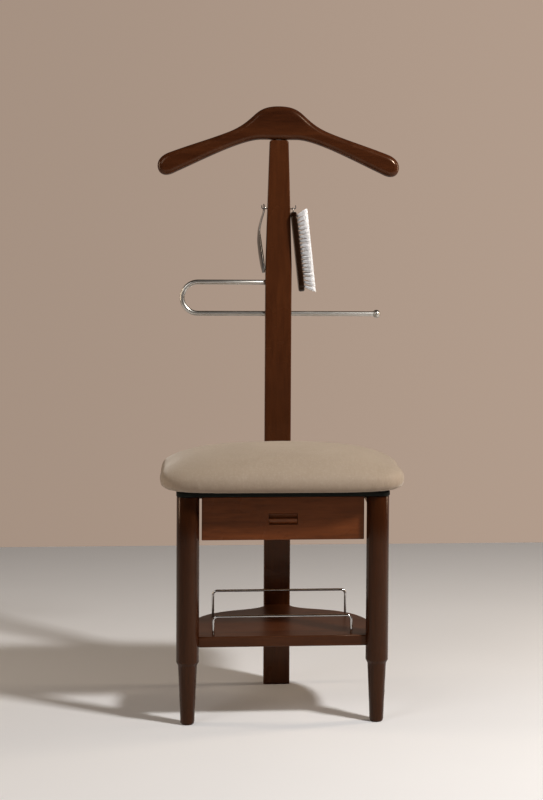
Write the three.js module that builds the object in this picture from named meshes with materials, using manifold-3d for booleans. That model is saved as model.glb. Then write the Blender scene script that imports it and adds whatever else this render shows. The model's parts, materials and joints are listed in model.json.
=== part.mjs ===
// A valet stand: a flat back post on two turned front legs, with a coat hanger, a bent trouser bar,
// a padded seat over a drawer, and a shoe shelf with two wire rails.
// Millimetres, +Z up. The stand faces -Y and +X is to its right as one stands facing it.
// Pieces are placed in the frame of the front legs (Y = 0 through the leg axes, Z = 0 on the floor);
// the whole stand is then moved so that its origin is the bottom centre of its bounding box.
import * as THREE from 'three';
import { mergeVertices } from 'three/addons/utils/BufferGeometryUtils.js';
import Module from 'manifold-3d';

const wasm = await Module();
wasm.setup();

// ---------- driving dimensions ----------
const GAP = 0.3; // between pieces that touch

const LEG_X = 167.5; // leg axis to the middle of the stand
const LEG_RADIUS = 20;
const LEG_TOP = 405;
const COLLAR_BOTTOM = 104.5;
const COLLAR_TOP = 112;

const POST_WIDTH = 50;
const POST_TOP_WIDTH = 36;
const POST_THICKNESS = 20;
const POST_FRONT = 276;
const POST_TAPER_START = 804;
const POST_TOP = 1041;

const HANGER_HALF = 229;
const HANGER_TOP = 1105;
const HANGER_THICKNESS = 28;

const BOARD_THICKNESS = 8.4;
const BOARD_HALF = 188;
const BOARD_FRONT = -22;

const CUSHION_HALF = 217;
const CUSHION_FRONT = -50;
const CUSHION_HEIGHT = 70;
const CUSHION_PANEL_THICKNESS = 9;

const APRON_FRONT = 240;
const APRON_HALF = 125;
const APRON_HEIGHT = 40;

const RUNNER_INNER = 149;
const RUNNER_OUTER = 166;
const RUNNER_HEIGHT = 16;
const TONGUE_REACH = 15.5;
const TONGUE_THICKNESS = 3.5;
const TONGUE_DROP = 4.5; // from the runner's top down to the tongue

const DRAWER_HALF = 143.5;
const DRAWER_BOTTOM = 325.5;
const DRAWER_TOP = 402;
const DRAWER_FRONT = 2;
const DRAWER_FRONT_THICKNESS = 18;
const DRAWER_BOX_HALF = 139;
const DRAWER_SIDE_THICKNESS = 11;
const DRAWER_PANEL = 4;

const PULL_HALF = 25;
const PULL_HALF_HEIGHT = 9.4;
const PULL_DEPTH = 12;
const PULL_Z = 362.6;

const SHELF_BOTTOM = 136;
const SHELF_THICKNESS = 19;

const RAIL_HALF = 122.5;
const RAIL_WIRE = 2.25; // radius
const RAIL_BEND = 8;
const RAIL_SINK = 8; // how deep a foot goes into the shelf
const FRONT_RAIL = { y: 12, top: 188 };
const REAR_RAIL = { y: 160, top: 205 };

const BAR_RADIUS = 4.75;
const BAR_LOW = 711.5;
const BAR_HIGH = 771;
const BAR_LEFT = -152; // centre of the bend
const BAR_RIGHT = 187;
const BAR_SINK = 15;
const BALL_RADIUS = 7.75;

const HOOK_Z = 911;
const HOOK_WIRE = 1; // radius
const HOOK_BEND = 3;
const HOOK_REACH = 10.5; // from the post's side to the upturned tip
const HOOK_RISE = 7;
const HOOK_SINK = 10;

const BRUSH_LEAN = 6.3; // degrees from the vertical
const BRUSH_LENGTH = 152;
const BRUSH_WIDTH = 42;
const BRUSH_THICKNESS = 11;
const BRISTLE_LENGTH = 20.5;

const DOWEL_RADIUS = 4;
const SMALL_DOWEL_RADIUS = 3;

// ---------- places worked out from them ----------
const postBack = POST_FRONT + POST_THICKNESS;
const postMiddle = POST_FRONT + POST_THICKNESS / 2;
const boardBottom = LEG_TOP + GAP;
const boardTop = boardBottom + BOARD_THICKNESS;
const boardBack = POST_FRONT - 14;
const cushionBottom = boardTop + GAP;
const cushionBack = POST_FRONT - 2;
const drawerBack = APRON_FRONT - 0.5;
const drawerBoxFront = DRAWER_FRONT + DRAWER_FRONT_THICKNESS + GAP;
const shelfTop = SHELF_BOTTOM + SHELF_THICKNESS;
const shelfMiddle = SHELF_BOTTOM + SHELF_THICKNESS / 2;
const runnerTop = LEG_TOP;
const runnerFront = LEG_RADIUS + 1;
const standFront = CUSHION_FRONT;
const standBack = postMiddle + BRUSH_WIDTH / 2;

function postHalfWidthAt(z) {
  const climb = Math.max(0, z - POST_TAPER_START) / (POST_TOP - POST_TAPER_START);
  return (POST_WIDTH + (POST_TOP_WIDTH - POST_WIDTH) * climb) / 2;
}

// ---------- materials ----------
function material(color, roughness, metalness = 0) {
  return new THREE.MeshStandardMaterial({ color, roughness, metalness });
}

const walnut = () => material(0x54291a, 0.35);
const rawWood = () => material(0xb08a5c, 0.7);
const blackBoard = () => material(0x14140f, 0.8);
const suede = () => material(0xa8957f, 0.95);
const satinNickel = () => material(0xb9b5ac, 0.3, 1);
const chrome = () => material(0xc8c8c8, 0.12, 1);
const zincScrew = () => material(0x9a9a94, 0.4, 1);
const whiteBristle = () => material(0xf0eff2, 0.8);

// ---------- shapes ----------
function toSolid(geometry) {
  const bare = geometry.clone();
  bare.deleteAttribute('normal');
  bare.deleteAttribute('uv');
  const merged = mergeVertices(bare, 1e-4);
  return new wasm.Manifold(new wasm.Mesh({
    numProp: 3,
    vertProperties: new Float32Array(merged.attributes.position.array),
    triVerts: new Uint32Array(merged.index.array),
  }));
}

function toGeometry(solid) {
  const mesh = solid.getMesh();
  const geometry = new THREE.BufferGeometry();
  geometry.setAttribute('position', new THREE.BufferAttribute(mesh.vertProperties, 3));
  geometry.setIndex(new THREE.BufferAttribute(mesh.triVerts, 1));
  return geometry;
}

function cut(geometry, ...tools) {
  return toGeometry(tools.reduce((solid, tool) => solid.subtract(toSolid(tool)), toSolid(geometry)));
}

function join(geometry, ...others) {
  return toGeometry(others.reduce((solid, other) => solid.add(toSolid(other)), toSolid(geometry)));
}

function box(low, high) {
  const geometry = new THREE.BoxGeometry(high[0] - low[0], high[1] - low[1], high[2] - low[2]);
  return geometry.translate((low[0] + high[0]) / 2, (low[1] + high[1]) / 2, (low[2] + high[2]) / 2);
}

// A round bar of the given radius from one point to another along X, Y or Z.
function round(from, to, radius, sides = 12) {
  const start = new THREE.Vector3(...from);
  const along = new THREE.Vector3(...to).sub(start);
  const geometry = new THREE.CylinderGeometry(radius, radius, along.length(), sides);
  const turn = new THREE.Quaternion().setFromUnitVectors(
    new THREE.Vector3(0, 1, 0),
    along.clone().normalize(),
  );
  return geometry.applyQuaternion(turn).translate(
    start.x + along.x / 2,
    start.y + along.y / 2,
    start.z + along.z / 2,
  );
}

// A solid of revolution about Z from [radius, z] pairs.
function turned(profile, sides) {
  const points = profile.map(([radius, z]) => new THREE.Vector2(radius, z));
  return new THREE.LatheGeometry(points, sides).rotateX(Math.PI / 2);
}

// A screw or bolt along one axis: a shank with a wider head at its start.
function fastener(from, to, shankRadius, headRadius, headLength) {
  const start = new THREE.Vector3(...from);
  const end = new THREE.Vector3(...to);
  const neck = start.clone().lerp(end, headLength / start.distanceTo(end));
  return join(round(from, neck.toArray(), headRadius), round(from, to, shankRadius, 8));
}

// The clearance that a fastener needs in what it passes through.
function fastenerHole(from, to, shankRadius, headRadius, headLength) {
  const start = new THREE.Vector3(...from);
  const end = new THREE.Vector3(...to);
  const unit = end.clone().sub(start).normalize();
  const neck = start.clone().addScaledVector(unit, headLength + GAP);
  const tip = end.clone().addScaledVector(unit, GAP);
  const mouth = start.clone().addScaledVector(unit, -1);
  return join(
    round(mouth.toArray(), neck.toArray(), headRadius + GAP),
    round(mouth.toArray(), tip.toArray(), shankRadius + GAP + 0.1, 8),
  );
}

// An outline in X and Z, given thickness along Y from front to back, with rounded edges.
function panelFacingFront(outline, front, thickness, edge, edgeSteps = 2) {
  const geometry = new THREE.ExtrudeGeometry(outline, {
    depth: thickness - 2 * edge,
    bevelEnabled: edge > 0,
    bevelThickness: edge,
    bevelSize: edge,
    bevelOffset: -edge,
    bevelSegments: edgeSteps,
    curveSegments: 5,
  });
  return geometry.rotateX(Math.PI / 2).translate(0, front + thickness - edge, 0);
}

// An outline in X and Y, given thickness upward from the bottom.
function flatBoard(outline, bottom, thickness, edge, edgeSteps = 1) {
  const geometry = new THREE.ExtrudeGeometry(outline, {
    depth: thickness - 2 * edge,
    bevelEnabled: edge > 0,
    bevelThickness: edge,
    bevelSize: edge,
    bevelOffset: -edge,
    bevelSegments: edgeSteps,
    curveSegments: 6,
  });
  return geometry.translate(0, 0, bottom + edge);
}

function roundedRectangle(left, right, low, high, radius) {
  const shape = new THREE.Shape();
  shape.moveTo(left + radius, low);
  shape.lineTo(right - radius, low);
  shape.absarc(right - radius, low + radius, radius, -Math.PI / 2, 0);
  shape.lineTo(right, high - radius);
  shape.absarc(right - radius, high - radius, radius, 0, Math.PI / 2);
  shape.lineTo(left + radius, high);
  shape.absarc(left + radius, high - radius, radius, Math.PI / 2, Math.PI);
  shape.lineTo(left, low + radius);
  shape.absarc(left + radius, low + radius, radius, Math.PI, Math.PI * 1.5);
  return shape;
}

// A curve through stations, so that a straight stretch needs no rings of its own.
class Route extends THREE.Curve {
  constructor(stations) {
    super();
    this.stations = stations;
  }

  getPoint(t, target = new THREE.Vector3()) {
    const place = t * (this.stations.length - 1);
    const index = Math.max(0, Math.min(Math.floor(place), this.stations.length - 2));
    return target.lerpVectors(this.stations[index], this.stations[index + 1], place - index);
  }

  getUtoTmapping(u) {
    return u;
  }
}

// Points of a quarter turn or half turn in the XZ plane about a centre.
function bend(centre, radius, fromAngle, toAngle, steps) {
  return Array.from({ length: steps + 1 }, (_, i) => {
    const angle = THREE.MathUtils.degToRad(fromAngle + ((toAngle - fromAngle) * i) / steps);
    return new THREE.Vector3(
      centre[0] + radius * Math.cos(angle),
      centre[1],
      centre[2] + radius * Math.sin(angle),
    );
  });
}

function wire(stations, radius, sides) {
  const section = new THREE.Shape();
  section.absarc(0, 0, radius, 0, Math.PI * 2);
  return new THREE.ExtrudeGeometry(section, {
    steps: stations.length - 1,
    curveSegments: sides / 2,
    bevelEnabled: false,
    extrudePath: new Route(stations),
  });
}

// A closed skin over rings of points, with a flat cap on the first and the last ring.
function loft(rings) {
  const count = rings[0].length;
  const positions = rings.flat().flatMap((point) => point.toArray());
  const index = [];
  for (let r = 0; r < rings.length - 1; r += 1) {
    for (let i = 0; i < count; i += 1) {
      const a = r * count + i;
      const b = r * count + ((i + 1) % count);
      index.push(a, b, b + count, a, b + count, a + count);
    }
  }
  const last = (rings.length - 1) * count;
  for (const [p, q, s] of capTriangles(rings[0])) {
    index.push(p, s, q);
  }
  for (const [p, q, s] of capTriangles(rings[rings.length - 1])) {
    index.push(last + p, last + q, last + s);
  }
  const geometry = new THREE.BufferGeometry();
  geometry.setAttribute('position', new THREE.Float32BufferAttribute(positions, 3));
  geometry.setIndex(index);
  return geometry;
}

// The triangles of a flat ring of points that lies across Z, turning the way the ring does.
function capTriangles(ring) {
  const flat = ring.map((point) => new THREE.Vector2(point.x, point.y));
  const clockwise = THREE.ShapeUtils.isClockWise(flat);
  return THREE.ShapeUtils.triangulateShape(flat, []).map(([p, q, s]) => {
    const turnsWith = THREE.ShapeUtils.isClockWise([flat[p], flat[q], flat[s]]) === clockwise;
    return turnsWith ? [p, q, s] : [p, s, q];
  });
}

// ---------- the stand ----------
const stand = new THREE.Group();

function add(name, geometry, finish, parent = stand) {
  const mesh = new THREE.Mesh(geometry, finish);
  mesh.name = name;
  parent.add(mesh);
  return mesh;
}

// Fasteners are described once and used twice, for the piece itself and for its hole.
const legBolt = (side) => [
  [side * LEG_X, 0, boardTop - 0.5],
  [side * LEG_X, 0, LEG_TOP - 45],
  3,
  6,
  3,
];
const cushionScrew = (x, y) => [[x, y, boardBottom + 0.3], [x, y, cushionBottom + 6], 1.6, 3.2, 2];
const runnerScrew = (side, y) => [
  [side * (RUNNER_OUTER - 6), y, runnerTop - RUNNER_HEIGHT + 0.5],
  [side * (RUNNER_OUTER - 6), y, boardBottom + 6],
  1.6,
  3.2,
  2,
];
const apronScrew = (side) => [
  [side * 90, APRON_FRONT + 18, boardTop - 0.5],
  [side * 90, APRON_FRONT + 18, LEG_TOP - 28],
  2,
  4,
  2.5,
];
const postBolt = (z, reach) => [[0, postBack - 0.5, z], [0, POST_FRONT - reach, z], 3, 5.5, 4];
const pullScrew = [
  [0, DRAWER_FRONT + DRAWER_FRONT_THICKNESS - 0.4, PULL_Z - 4.5],
  [0, DRAWER_FRONT + 6, PULL_Z - 4.5],
  1.6,
  3.2,
  2,
];

const cushionScrewPlaces = [[-120, 40], [120, 40], [-120, 215], [120, 215]];
const runnerScrewPlaces = [[-1, 60], [-1, 205], [1, 60], [1, 205]];
const apronBoltHeights = [LEG_TOP - 30, LEG_TOP - 9];
const shelfDowelY = 8;
const hangerDowelX = 9;
const drawerDowelHeights = [346, 382];
const drawerDowelX = DRAWER_BOX_HALF - DRAWER_SIDE_THICKNESS / 2;

// A dowel and, with clearance, the hole on both sides of the joint.
function shelfDowel(side, clearance) {
  return round(
    [side * (LEG_X - 9 + clearance), shelfDowelY, shelfMiddle],
    [side * (LEG_X - 39 - clearance), shelfDowelY, shelfMiddle],
    DOWEL_RADIUS + clearance,
    10,
  );
}

function hangerDowel(side, clearance) {
  return round(
    [side * hangerDowelX, postMiddle, POST_TOP - 20 - clearance],
    [side * hangerDowelX, postMiddle, POST_TOP + 20 + clearance],
    DOWEL_RADIUS + clearance,
    10,
  );
}

function drawerDowel(side, z, clearance) {
  return round(
    [side * drawerDowelX, drawerBoxFront - 10 - clearance, z],
    [side * drawerDowelX, drawerBoxFront + 20 + clearance, z],
    SMALL_DOWEL_RADIUS + clearance,
    8,
  );
}

function addLegs() {
  const tip = 12.4;
  const profile = [
    [0, 0],
    [9, 0],
    [11.4, 1.3],
    [tip, 4.5],
    [13, 23],
    [14.5, 58],
    [16.15, 93],
    [16.75, COLLAR_BOTTOM],
    [17.6, COLLAR_BOTTOM + 2.5],
    [19.2, COLLAR_TOP - 2],
    [LEG_RADIUS, COLLAR_TOP],
    [LEG_RADIUS, LEG_TOP - 1],
    [LEG_RADIUS - 1, LEG_TOP],
    [0, LEG_TOP],
  ];
  for (const [name, side] of [['left_leg', -1], ['right_leg', 1]]) {
    const blank = turned(profile, 28).translate(side * LEG_X, 0, 0);
    const shaped = cut(blank, fastenerHole(...legBolt(side)), shelfDowel(side, GAP));
    add(name, shaped, walnut());
  }
}

// Stations of the trouser bar from its end in the post, round the bend, to its end in the ball.
function barStations() {
  const radius = (BAR_HIGH - BAR_LOW) / 2;
  const middle = (BAR_HIGH + BAR_LOW) / 2;
  const start = new THREE.Vector3(-POST_WIDTH / 2 + BAR_SINK, postMiddle, BAR_HIGH);
  const turn = bend([BAR_LEFT, postMiddle, middle], radius, 90, 270, 12);
  const end = new THREE.Vector3(BAR_RIGHT, postMiddle, BAR_LOW);
  return [start, ...turn, end];
}

// Stations of a hook from its end in the post's side to its upturned tip.
function hookStations(side) {
  const root = side * (postHalfWidthAt(HOOK_Z) - HOOK_SINK);
  const tip = side * (postHalfWidthAt(HOOK_Z) + HOOK_REACH);
  const centre = [tip - side * HOOK_BEND, postMiddle, HOOK_Z + HOOK_BEND];
  const turn = side > 0 ? bend(centre, HOOK_BEND, -90, 0, 4) : bend(centre, HOOK_BEND, 270, 180, 4);
  return [
    new THREE.Vector3(root, postMiddle, HOOK_Z),
    ...turn,
    new THREE.Vector3(tip, postMiddle, HOOK_Z + HOOK_RISE),
  ];
}

function addPost() {
  const half = POST_WIDTH / 2;
  const topHalf = POST_TOP_WIDTH / 2;
  const crown = 5;
  const outline = new THREE.Shape();
  outline.moveTo(-half, 0);
  outline.lineTo(half, 0);
  outline.lineTo(half, POST_TAPER_START);
  outline.lineTo(topHalf, POST_TOP - crown);
  outline.quadraticCurveTo(topHalf, POST_TOP, topHalf - crown, POST_TOP);
  outline.lineTo(-topHalf + crown, POST_TOP);
  outline.quadraticCurveTo(-topHalf, POST_TOP, -topHalf, POST_TOP - crown);
  outline.lineTo(-half, POST_TAPER_START);
  const blank = panelFacingFront(outline, POST_FRONT, POST_THICKNESS, 2.5);

  const barHole = BAR_RADIUS + GAP;
  const hookHole = HOOK_WIRE + GAP;
  const hookHalf = postHalfWidthAt(HOOK_Z);
  const tools = [
    round([-half - 1, postMiddle, BAR_LOW], [half + 1, postMiddle, BAR_LOW], barHole, 16),
    round([-half - 1, postMiddle, BAR_HIGH], [-half + BAR_SINK + GAP, postMiddle, BAR_HIGH], barHole, 16),
    ...[-1, 1].map((side) => round(
      [side * (hookHalf + 1), postMiddle, HOOK_Z],
      [side * (hookHalf - HOOK_SINK - GAP), postMiddle, HOOK_Z],
      hookHole,
      8,
    )),
    ...[-1, 1].map((side) => hangerDowel(side, GAP)),
    ...apronBoltHeights.map((z) => fastenerHole(...postBolt(z, 24))),
    fastenerHole(...postBolt(shelfMiddle, 40)),
  ];
  add('back_post', cut(blank, ...tools), walnut());
}

function hangerOutline() {
  const shape = new THREE.Shape();
  const armTop = [96, 1055.5];
  const tipTop = [204, 1017];
  const tipOut = [HANGER_HALF, 991];
  const tipLow = [213, 973];
  const armLow = [190, 981];
  const neck = [34, 1041.5];
  shape.moveTo(0, HANGER_TOP);
  shape.bezierCurveTo(22, HANGER_TOP, 34, 1100, 46, 1089);
  shape.bezierCurveTo(58, 1078, 70, 1066, ...armTop);
  shape.bezierCurveTo(130, 1042, 170, 1030, ...tipTop);
  shape.bezierCurveTo(219, 1012, HANGER_HALF, 1003, ...tipOut);
  shape.bezierCurveTo(HANGER_HALF, 981, 223, 973, ...tipLow);
  shape.bezierCurveTo(204, 973, 197, 978, ...armLow);
  shape.bezierCurveTo(140, 1004, 70, 1041, ...neck);
  shape.lineTo(-neck[0], neck[1]);
  shape.bezierCurveTo(-70, 1041, -140, 1004, -armLow[0], armLow[1]);
  shape.bezierCurveTo(-197, 978, -204, 973, -tipLow[0], tipLow[1]);
  shape.bezierCurveTo(-223, 973, -HANGER_HALF, 981, -tipOut[0], tipOut[1]);
  shape.bezierCurveTo(-HANGER_HALF, 1003, -219, 1012, -tipTop[0], tipTop[1]);
  shape.bezierCurveTo(-170, 1030, -130, 1042, -armTop[0], armTop[1]);
  shape.bezierCurveTo(-70, 1066, -58, 1078, -46, 1089);
  shape.bezierCurveTo(-34, 1100, -22, HANGER_TOP, 0, HANGER_TOP);
  return shape;
}

function addHanger() {
  const blank = panelFacingFront(
    hangerOutline(),
    postMiddle - HANGER_THICKNESS / 2,
    HANGER_THICKNESS,
    8,
    3,
  );
  const shaped = cut(blank, ...[-1, 1].map((side) => hangerDowel(side, GAP)));
  add('hanger', shaped, walnut());
  add('left_hanger_dowel', hangerDowel(-1, 0), rawWood());
  add('right_hanger_dowel', hangerDowel(1, 0), rawWood());
}

function addTrouserBar() {
  add('trouser_bar', wire(barStations(), BAR_RADIUS, 16), satinNickel());
  const ballCentre = BAR_RIGHT + 1;
  const ball = new THREE.SphereGeometry(BALL_RADIUS, 20, 12).translate(ballCentre, postMiddle, BAR_LOW);
  const socket = round(
    [ballCentre - BALL_RADIUS - 1, postMiddle, BAR_LOW],
    [BAR_RIGHT + GAP, postMiddle, BAR_LOW],
    BAR_RADIUS + GAP,
    16,
  );
  add('bar_ball_end', cut(ball, socket), satinNickel());
}

function addHooks() {
  add('left_hook', wire(hookStations(-1), HOOK_WIRE, 8), satinNickel());
  add('right_hook', wire(hookStations(1), HOOK_WIRE, 8), satinNickel());
}

function addSeat() {
  const plan = roundedRectangle(-BOARD_HALF, BOARD_HALF, BOARD_FRONT, boardBack, 14);
  const board = cut(
    flatBoard(plan, boardBottom, BOARD_THICKNESS, 2),
    fastenerHole(...legBolt(-1)),
    fastenerHole(...legBolt(1)),
    fastenerHole(...apronScrew(-1)),
    fastenerHole(...apronScrew(1)),
    ...cushionScrewPlaces.map(([x, y]) => fastenerHole(...cushionScrew(x, y))),
    ...runnerScrewPlaces.map(([side, y]) => fastenerHole(...runnerScrew(side, y))),
  );
  add('seat_board', board, blackBoard());

  const inset = 40;
  const panelTop = cushionBottom + CUSHION_PANEL_THICKNESS;
  const panelLow = [-CUSHION_HALF + inset, CUSHION_FRONT + inset, cushionBottom];
  const panelHigh = [CUSHION_HALF - inset, cushionBack - inset, panelTop];
  const panel = cut(
    box(panelLow, panelHigh),
    ...cushionScrewPlaces.map(([x, y]) => fastenerHole(...cushionScrew(x, y))),
  );
  add('cushion_panel', panel, rawWood());

  const pocket = box(
    [panelLow[0] - GAP, panelLow[1] - GAP, cushionBottom - 1],
    [panelHigh[0] + GAP, panelHigh[1] + GAP, panelTop + GAP],
  );
  add('seat_cushion', cut(cushionBlank(), pocket), suede());
}

// The pad's plan is a rounded rectangle that pulls in towards its underside and its crown.
function cushionBlank() {
  const middle = (CUSHION_FRONT + cushionBack) / 2;
  const halfDepth = (cushionBack - CUSHION_FRONT) / 2;
  const squareness = 5;
  const pointsAround = 44;
  // [how far the edge is pulled in, height above the pad's underside]
  const profile = [
    [34, 0],
    [14, 4],
    [4, 12],
    [0, 26],
    [3, 40],
    [12, 52],
    [30, 62],
    [70, 68.5],
    [110, CUSHION_HEIGHT],
  ];
  const rings = profile.map(([inset, rise]) => Array.from({ length: pointsAround }, (_, i) => {
    const angle = (i / pointsAround) * Math.PI * 2;
    const reach = (value) => Math.sign(value) * Math.abs(value) ** (2 / squareness);
    return new THREE.Vector3(
      (CUSHION_HALF - inset) * reach(Math.cos(angle)),
      middle + (halfDepth - inset) * reach(Math.sin(angle)),
      cushionBottom + rise,
    );
  }));
  return loft(rings);
}

function addSeatFrame() {
  const apron = cut(
    box([-APRON_HALF, APRON_FRONT, LEG_TOP - APRON_HEIGHT], [APRON_HALF, POST_FRONT - GAP, LEG_TOP]),
    fastenerHole(...apronScrew(-1)),
    fastenerHole(...apronScrew(1)),
    ...apronBoltHeights.map((z) => fastenerHole(...postBolt(z, 24))),
  );
  add('rear_apron', apron, walnut());

  const tongueTop = runnerTop - TONGUE_DROP;
  const tongueBottom = tongueTop - TONGUE_THICKNESS;
  const runnerBottom = runnerTop - RUNNER_HEIGHT;
  for (const [name, side] of [['left_runner', -1], ['right_runner', 1]]) {
    const section = new THREE.Shape([
      new THREE.Vector2(side * RUNNER_OUTER, runnerBottom),
      new THREE.Vector2(side * RUNNER_OUTER, runnerTop),
      new THREE.Vector2(side * RUNNER_INNER, runnerTop),
      new THREE.Vector2(side * RUNNER_INNER, tongueTop),
      new THREE.Vector2(side * (RUNNER_INNER - TONGUE_REACH), tongueTop),
      new THREE.Vector2(side * (RUNNER_INNER - TONGUE_REACH), tongueBottom),
      new THREE.Vector2(side * RUNNER_INNER, tongueBottom),
      new THREE.Vector2(side * RUNNER_INNER, runnerBottom),
    ]);
    const bar = panelFacingFront(section, runnerFront, APRON_FRONT - GAP - runnerFront, 0);
    const holes = runnerScrewPlaces
      .filter(([screwSide]) => screwSide === side)
      .map(([screwSide, y]) => fastenerHole(...runnerScrew(screwSide, y)));
    add(name, cut(bar, ...holes), walnut());
  }
}

function addDrawer() {
  const frontBack = DRAWER_FRONT + DRAWER_FRONT_THICKNESS;
  const face = roundedRectangle(-DRAWER_HALF, DRAWER_HALF, DRAWER_BOTTOM, DRAWER_TOP, 1.5);
  const pullPocket = box(
    [-PULL_HALF - GAP, DRAWER_FRONT - 1, PULL_Z - PULL_HALF_HEIGHT - GAP],
    [PULL_HALF + GAP, DRAWER_FRONT + PULL_DEPTH, PULL_Z + PULL_HALF_HEIGHT + GAP],
  );
  const dowelPlaces = [-1, 1].flatMap((side) => drawerDowelHeights.map((z) => [side, z]));
  const front = cut(
    panelFacingFront(face, DRAWER_FRONT, DRAWER_FRONT_THICKNESS, 1.2, 1),
    pullPocket,
    fastenerHole(...pullScrew),
    ...dowelPlaces.map(([side, z]) => drawerDowel(side, z, GAP)),
  );
  add('drawer_front', front, walnut());
  add('drawer_pull', pullGeometry(), walnut());
  add('drawer_pull_screw', fastener(...pullScrew), zincScrew());

  const panelBottom = DRAWER_BOTTOM + 3;
  const sideBottom = panelBottom + DRAWER_PANEL + GAP;
  const sideTop = runnerTop - 0.7;
  const grooveTop = runnerTop - TONGUE_DROP + 0.5;
  const grooveBottom = runnerTop - TONGUE_DROP - TONGUE_THICKNESS - GAP;
  const grooveFloor = RUNNER_INNER - TONGUE_REACH - 0.5;
  const sideInner = DRAWER_BOX_HALF - DRAWER_SIDE_THICKNESS;
  for (const [name, side] of [['drawer_left_side', -1], ['drawer_right_side', 1]]) {
    const section = new THREE.Shape([
      new THREE.Vector2(side * sideInner, sideBottom),
      new THREE.Vector2(side * DRAWER_BOX_HALF, sideBottom),
      new THREE.Vector2(side * DRAWER_BOX_HALF, grooveBottom),
      new THREE.Vector2(side * grooveFloor, grooveBottom),
      new THREE.Vector2(side * grooveFloor, grooveTop),
      new THREE.Vector2(side * DRAWER_BOX_HALF, grooveTop),
      new THREE.Vector2(side * DRAWER_BOX_HALF, sideTop),
      new THREE.Vector2(side * sideInner, sideTop),
    ]);
    const blank = panelFacingFront(section, drawerBoxFront, drawerBack - drawerBoxFront, 0);
    add(name, cut(blank, ...drawerDowelHeights.map((z) => drawerDowel(side, z, GAP))), rawWood());
  }
  add('drawer_back', box(
    [-sideInner + GAP, drawerBack - 10, sideBottom],
    [sideInner - GAP, drawerBack, sideTop - 12],
  ), rawWood());
  add('drawer_bottom', box(
    [-DRAWER_BOX_HALF, frontBack + GAP, panelBottom],
    [DRAWER_BOX_HALF, drawerBack, panelBottom + DRAWER_PANEL],
  ), rawWood());
  dowelPlaces.forEach(([side, z], i) => add(`drawer_dowel_${i + 1}`, drawerDowel(side, z, 0), rawWood()));
}

// The grip in the drawer front: a lip across the middle, hollowed above it for the fingertips.
function pullGeometry() {
  const back = DRAWER_FRONT + PULL_DEPTH - GAP;
  const low = PULL_Z - PULL_HALF_HEIGHT;
  const high = PULL_Z + PULL_HALF_HEIGHT;
  const lip = PULL_Z + 1.2;
  const section = new THREE.Shape();
  section.moveTo(back, low);
  section.lineTo(back, high);
  section.lineTo(back - 2, high);
  section.quadraticCurveTo(back - 2.4, lip - 1, DRAWER_FRONT + 4, lip - 1.4);
  section.lineTo(DRAWER_FRONT + 1.6, lip);
  section.lineTo(DRAWER_FRONT - 0.6, lip - 0.4);
  section.lineTo(DRAWER_FRONT - 0.6, lip - 1.6);
  section.lineTo(DRAWER_FRONT + 1.8, low);
  const geometry = new THREE.ExtrudeGeometry(section, { depth: 2 * PULL_HALF, bevelEnabled: false });
  // The section is drawn in Y and Z; this turns it to run along X.
  const upright = new THREE.Matrix4().makeBasis(
    new THREE.Vector3(0, 1, 0),
    new THREE.Vector3(0, 0, 1),
    new THREE.Vector3(1, 0, 0),
  );
  geometry.applyMatrix4(upright).translate(-PULL_HALF, 0, 0);
  return cut(geometry, fastenerHole(...pullScrew));
}

function shelfOutline() {
  const front = -2;
  const back = POST_FRONT - GAP;
  const half = POST_WIDTH / 2;
  const shape = new THREE.Shape();
  shape.moveTo(-160, front);
  shape.lineTo(160, front);
  shape.lineTo(168, 12);
  shape.bezierCurveTo(169, 60, 168, 100, 160, 132);
  shape.bezierCurveTo(148, 180, 122, 208, 84, 224);
  shape.bezierCurveTo(62, 233, 36, 240, half + 1, 262);
  shape.quadraticCurveTo(half, 266, half, back);
  shape.lineTo(-half, back);
  shape.quadraticCurveTo(-half, 266, -half - 1, 262);
  shape.bezierCurveTo(-36, 240, -62, 233, -84, 224);
  shape.bezierCurveTo(-122, 208, -148, 180, -160, 132);
  shape.bezierCurveTo(-168, 100, -169, 60, -168, 12);
  return shape;
}

function railStations(rail) {
  const foot = shelfTop - RAIL_SINK;
  const left = [-RAIL_HALF + RAIL_BEND, rail.y, rail.top - RAIL_BEND];
  const right = [RAIL_HALF - RAIL_BEND, rail.y, rail.top - RAIL_BEND];
  return [
    new THREE.Vector3(-RAIL_HALF, rail.y, foot),
    ...bend(left, RAIL_BEND, 180, 90, 4),
    ...bend(right, RAIL_BEND, 90, 0, 4),
    new THREE.Vector3(RAIL_HALF, rail.y, foot),
  ];
}

function addShelf() {
  const sockets = [FRONT_RAIL, REAR_RAIL].flatMap((rail) => [-1, 1].map((side) => round(
    [side * RAIL_HALF, rail.y, shelfTop + 1],
    [side * RAIL_HALF, rail.y, shelfTop - RAIL_SINK - GAP],
    RAIL_WIRE + GAP,
    10,
  )));
  const legClearance = [-1, 1].map((side) => round(
    [side * LEG_X, 0, SHELF_BOTTOM - 1],
    [side * LEG_X, 0, shelfTop + 1],
    LEG_RADIUS + GAP,
    28,
  ));
  const shelf = cut(
    flatBoard(shelfOutline(), SHELF_BOTTOM, SHELF_THICKNESS, 1.5),
    ...legClearance,
    ...sockets,
    ...[-1, 1].map((side) => shelfDowel(side, GAP)),
    fastenerHole(...postBolt(shelfMiddle, 40)),
  );
  add('shoe_shelf', shelf, walnut());
  add('left_shelf_dowel', shelfDowel(-1, 0), rawWood());
  add('right_shelf_dowel', shelfDowel(1, 0), rawWood());
  add('front_shoe_rail', wire(railStations(FRONT_RAIL), RAIL_WIRE, 10), chrome());
  add('rear_shoe_rail', wire(railStations(REAR_RAIL), RAIL_WIRE, 10), chrome());
}

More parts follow.
